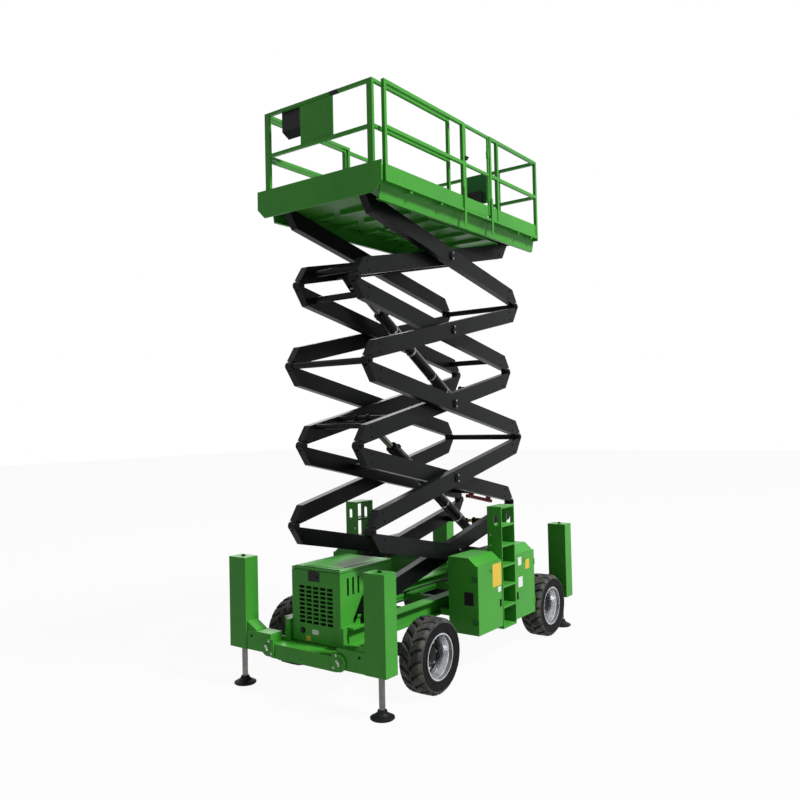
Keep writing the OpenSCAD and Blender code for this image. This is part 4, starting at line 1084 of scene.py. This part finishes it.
@dataclass
class ChassisTrim:
    """Hydraulic pipes along the chassis and bolts of its rails."""

    pipe_y: float = 0.335
    pipe_r: float = 0.014
    pipe_line: Sequence[Point] = ((1.3, 0.7), (0.95, 0.712), (0.55, 0.711), (-0.2, 0.711), (-1.0, 0.711),
                                  (-1.4, 0.711), (-1.88, 0.711))
    rail_y: float = 0.52
    bolt_z: float = 0.618
    bolt_xs: Point = (1.75, 1.6, 1.45, 0.62, 0.48, -1.22, -1.36, -1.76, -1.9)
    bolt: Bolt = Bolt(7, 6, 9, 2)

    def build(self) -> None:
        """Dresses the chassis."""
        pipes = [tube([(x, side * self.pipe_y, z) for x, z in self.pipe_line], self.pipe_r) for side in SIDES]
        fit(weld(pipes), "chassis_pipes", "chassis", Coat.TRIM)
        bolts = [on_side(x, self.rail_y, self.bolt_z, side) for side in SIDES for x in self.bolt_xs]
        self.bolt.set_at(bolts, "rail_flange_bolts", "chassis")


@dataclass
class Studio:
    """Camera, lights and floor."""

    camera_place: Point = (8.485, 6.006, 3.024)
    yaw_deg: float = 216.396
    pitch_deg: float = 1.55
    roll_deg: float = -1.268
    lens_mm: float = 35.3
    sensor_mm: float = 36.0
    sight_m: float = 200
    floor_half: float = 60.0
    floor_colour: str = "#a9a9a6"
    floor_white: float = 0.95
    sky_colour: str = "#eef2f6"
    sky_strength: float = 0.13

    def camera(self) -> None:
        """Sets the camera at the photograph's viewing angle."""
        yaw, pitch, roll = (math.radians(a) for a in (self.yaw_deg, self.pitch_deg, self.roll_deg))
        ahead = Vector((math.cos(yaw) * math.cos(pitch), math.sin(yaw) * math.cos(pitch), math.sin(pitch)))
        flat = Vector((math.sin(yaw), -math.cos(yaw), 0))
        over = flat.cross(ahead)
        right = math.cos(roll) * flat + math.sin(roll) * over
        up = -math.sin(roll) * flat + math.cos(roll) * over
        data = bpy.data.cameras.new("camera")
        data.sensor_width = self.sensor_mm
        data.lens = self.lens_mm
        data.clip_end = self.sight_m
        camera = bpy.data.objects.new("camera", data)
        bpy.context.scene.collection.objects.link(camera)
        turn = Matrix((right, up, -ahead)).transposed().to_4x4()
        camera.matrix_world = Matrix.Translation(Vector(self.camera_place)) @ turn
        bpy.context.scene.camera = camera

    def lamp(self, name: str, place: Point, aim: Point, size: float, power: float) -> None:
        """Adds a soft square lamp.

        Args:
            name: Name of the lamp.
            place: Where it stands.
            aim: Point that it shines at.
            size: Side of its face.
            power: Power in watts.
        """
        data = bpy.data.lights.new(name, "AREA")
        data.size = size
        data.energy = power
        lamp = bpy.data.objects.new(name, data)
        lamp.location = place
        lamp.rotation_euler = (Vector(aim) - Vector(place)).to_track_quat("-Z", "Y").to_euler()
        bpy.context.scene.collection.objects.link(lamp)

    def white_to_camera(self, tree: bpy.types.NodeTree, lit: bpy.types.NodeSocket, share: float) -> None:
        """Mixes a plain white into what the camera and reflections see.

        Args:
            tree: Node tree of the world or the floor.
            lit: Shader that lights and takes shadows.
            share: Share of white in what the camera sees.
        """
        path = add_node(tree, "ShaderNodeLightPath", {}, {})
        seen = path.outputs["Is Camera Ray"]
        for ray in ("Is Glossy Ray", "Is Transmission Ray"):
            both = {0: seen, 1: path.outputs[ray]}
            seen = add_node(tree, "ShaderNodeMath", {"operation": "MAXIMUM"}, both).outputs[0]
        amount = add_node(tree, "ShaderNodeMath", {"operation": "MULTIPLY"}, {0: seen})
        amount.inputs[1].default_value = share
        is_world = lit.node.type == "BACKGROUND"
        kind = "ShaderNodeBackground" if is_world else "ShaderNodeEmission"
        white = add_node(tree, kind, {"Color": (1, 1, 1, 1), "Strength": 1.0}, {})
        parts = {0: amount.outputs[0], 1: lit, 2: white.outputs[0]}
        mix = add_node(tree, "ShaderNodeMixShader", {}, parts)
        output = tree.nodes["World Output" if is_world else "Material Output"]
        tree.links.new(mix.outputs[0], output.inputs["Surface"])

    def floor(self) -> None:
        """Lays a plain pale floor that takes the shadow."""
        bpy.ops.mesh.primitive_plane_add(size=2 * self.floor_half)
        floor = bpy.context.object
        floor.name = "floor"
        # Smooth concrete, painted pale
        material = bpy.data.materials.new("pale_floor")
        material.use_nodes = True
        tree = material.node_tree
        shader = tree.nodes["Principled BSDF"]
        shader.inputs["Base Color"].default_value = linear(self.floor_colour)
        shader.inputs["Roughness"].default_value = 0.9
        self.white_to_camera(tree, shader.outputs["BSDF"], self.floor_white)
        floor.data.materials.append(material)

    def world(self) -> None:
        """Sets even light all round and a white backdrop."""
        world = bpy.data.worlds.new("studio")
        bpy.context.scene.world = world
        world.use_nodes = True
        tree = world.node_tree
        light = tree.nodes["Background"]
        light.inputs["Color"].default_value = linear(self.sky_colour)
        light.inputs["Strength"].default_value = self.sky_strength
        self.white_to_camera(tree, light.outputs["Background"], 1.0)

    def build(self) -> None:
        """Sets up camera, world, lamps and floor."""
        self.camera()
        self.world()
        self.floor()
        self.lamp("key", (-4.0, 38.0, 48.0), aim=(0, 0, 3.0), size=9.0, power=50000)
        self.lamp("fill", (15.0, 1.5, 5.0), aim=(0, 0, 2.5), size=9.0, power=90)
        self.lamp("rim", (-9.0, -11.0, 9.0), aim=(0, 0, 3.0), size=8.0, power=400)
        bpy.context.scene.view_settings.view_transform = "Standard"


def main() -> None:
    """Builds the studio and dresses the frame, sub-assembly by sub-assembly."""
    logging.basicConfig(level=logging.INFO, format="%(message)s")
    Studio().build()
    PaintShop().paint()
    WheelSet().build()
    OutriggerTrim().build()
    HoodTrim().build()
    CabinetTrim().build()
    LadderTrim().build()
    arms = ArmTrim()
    arms.build()
    CylinderTrim(arms).build()
    PlatformTrim().build()
    ChassisTrim().build()


if __name__ == "__main__":
    main()
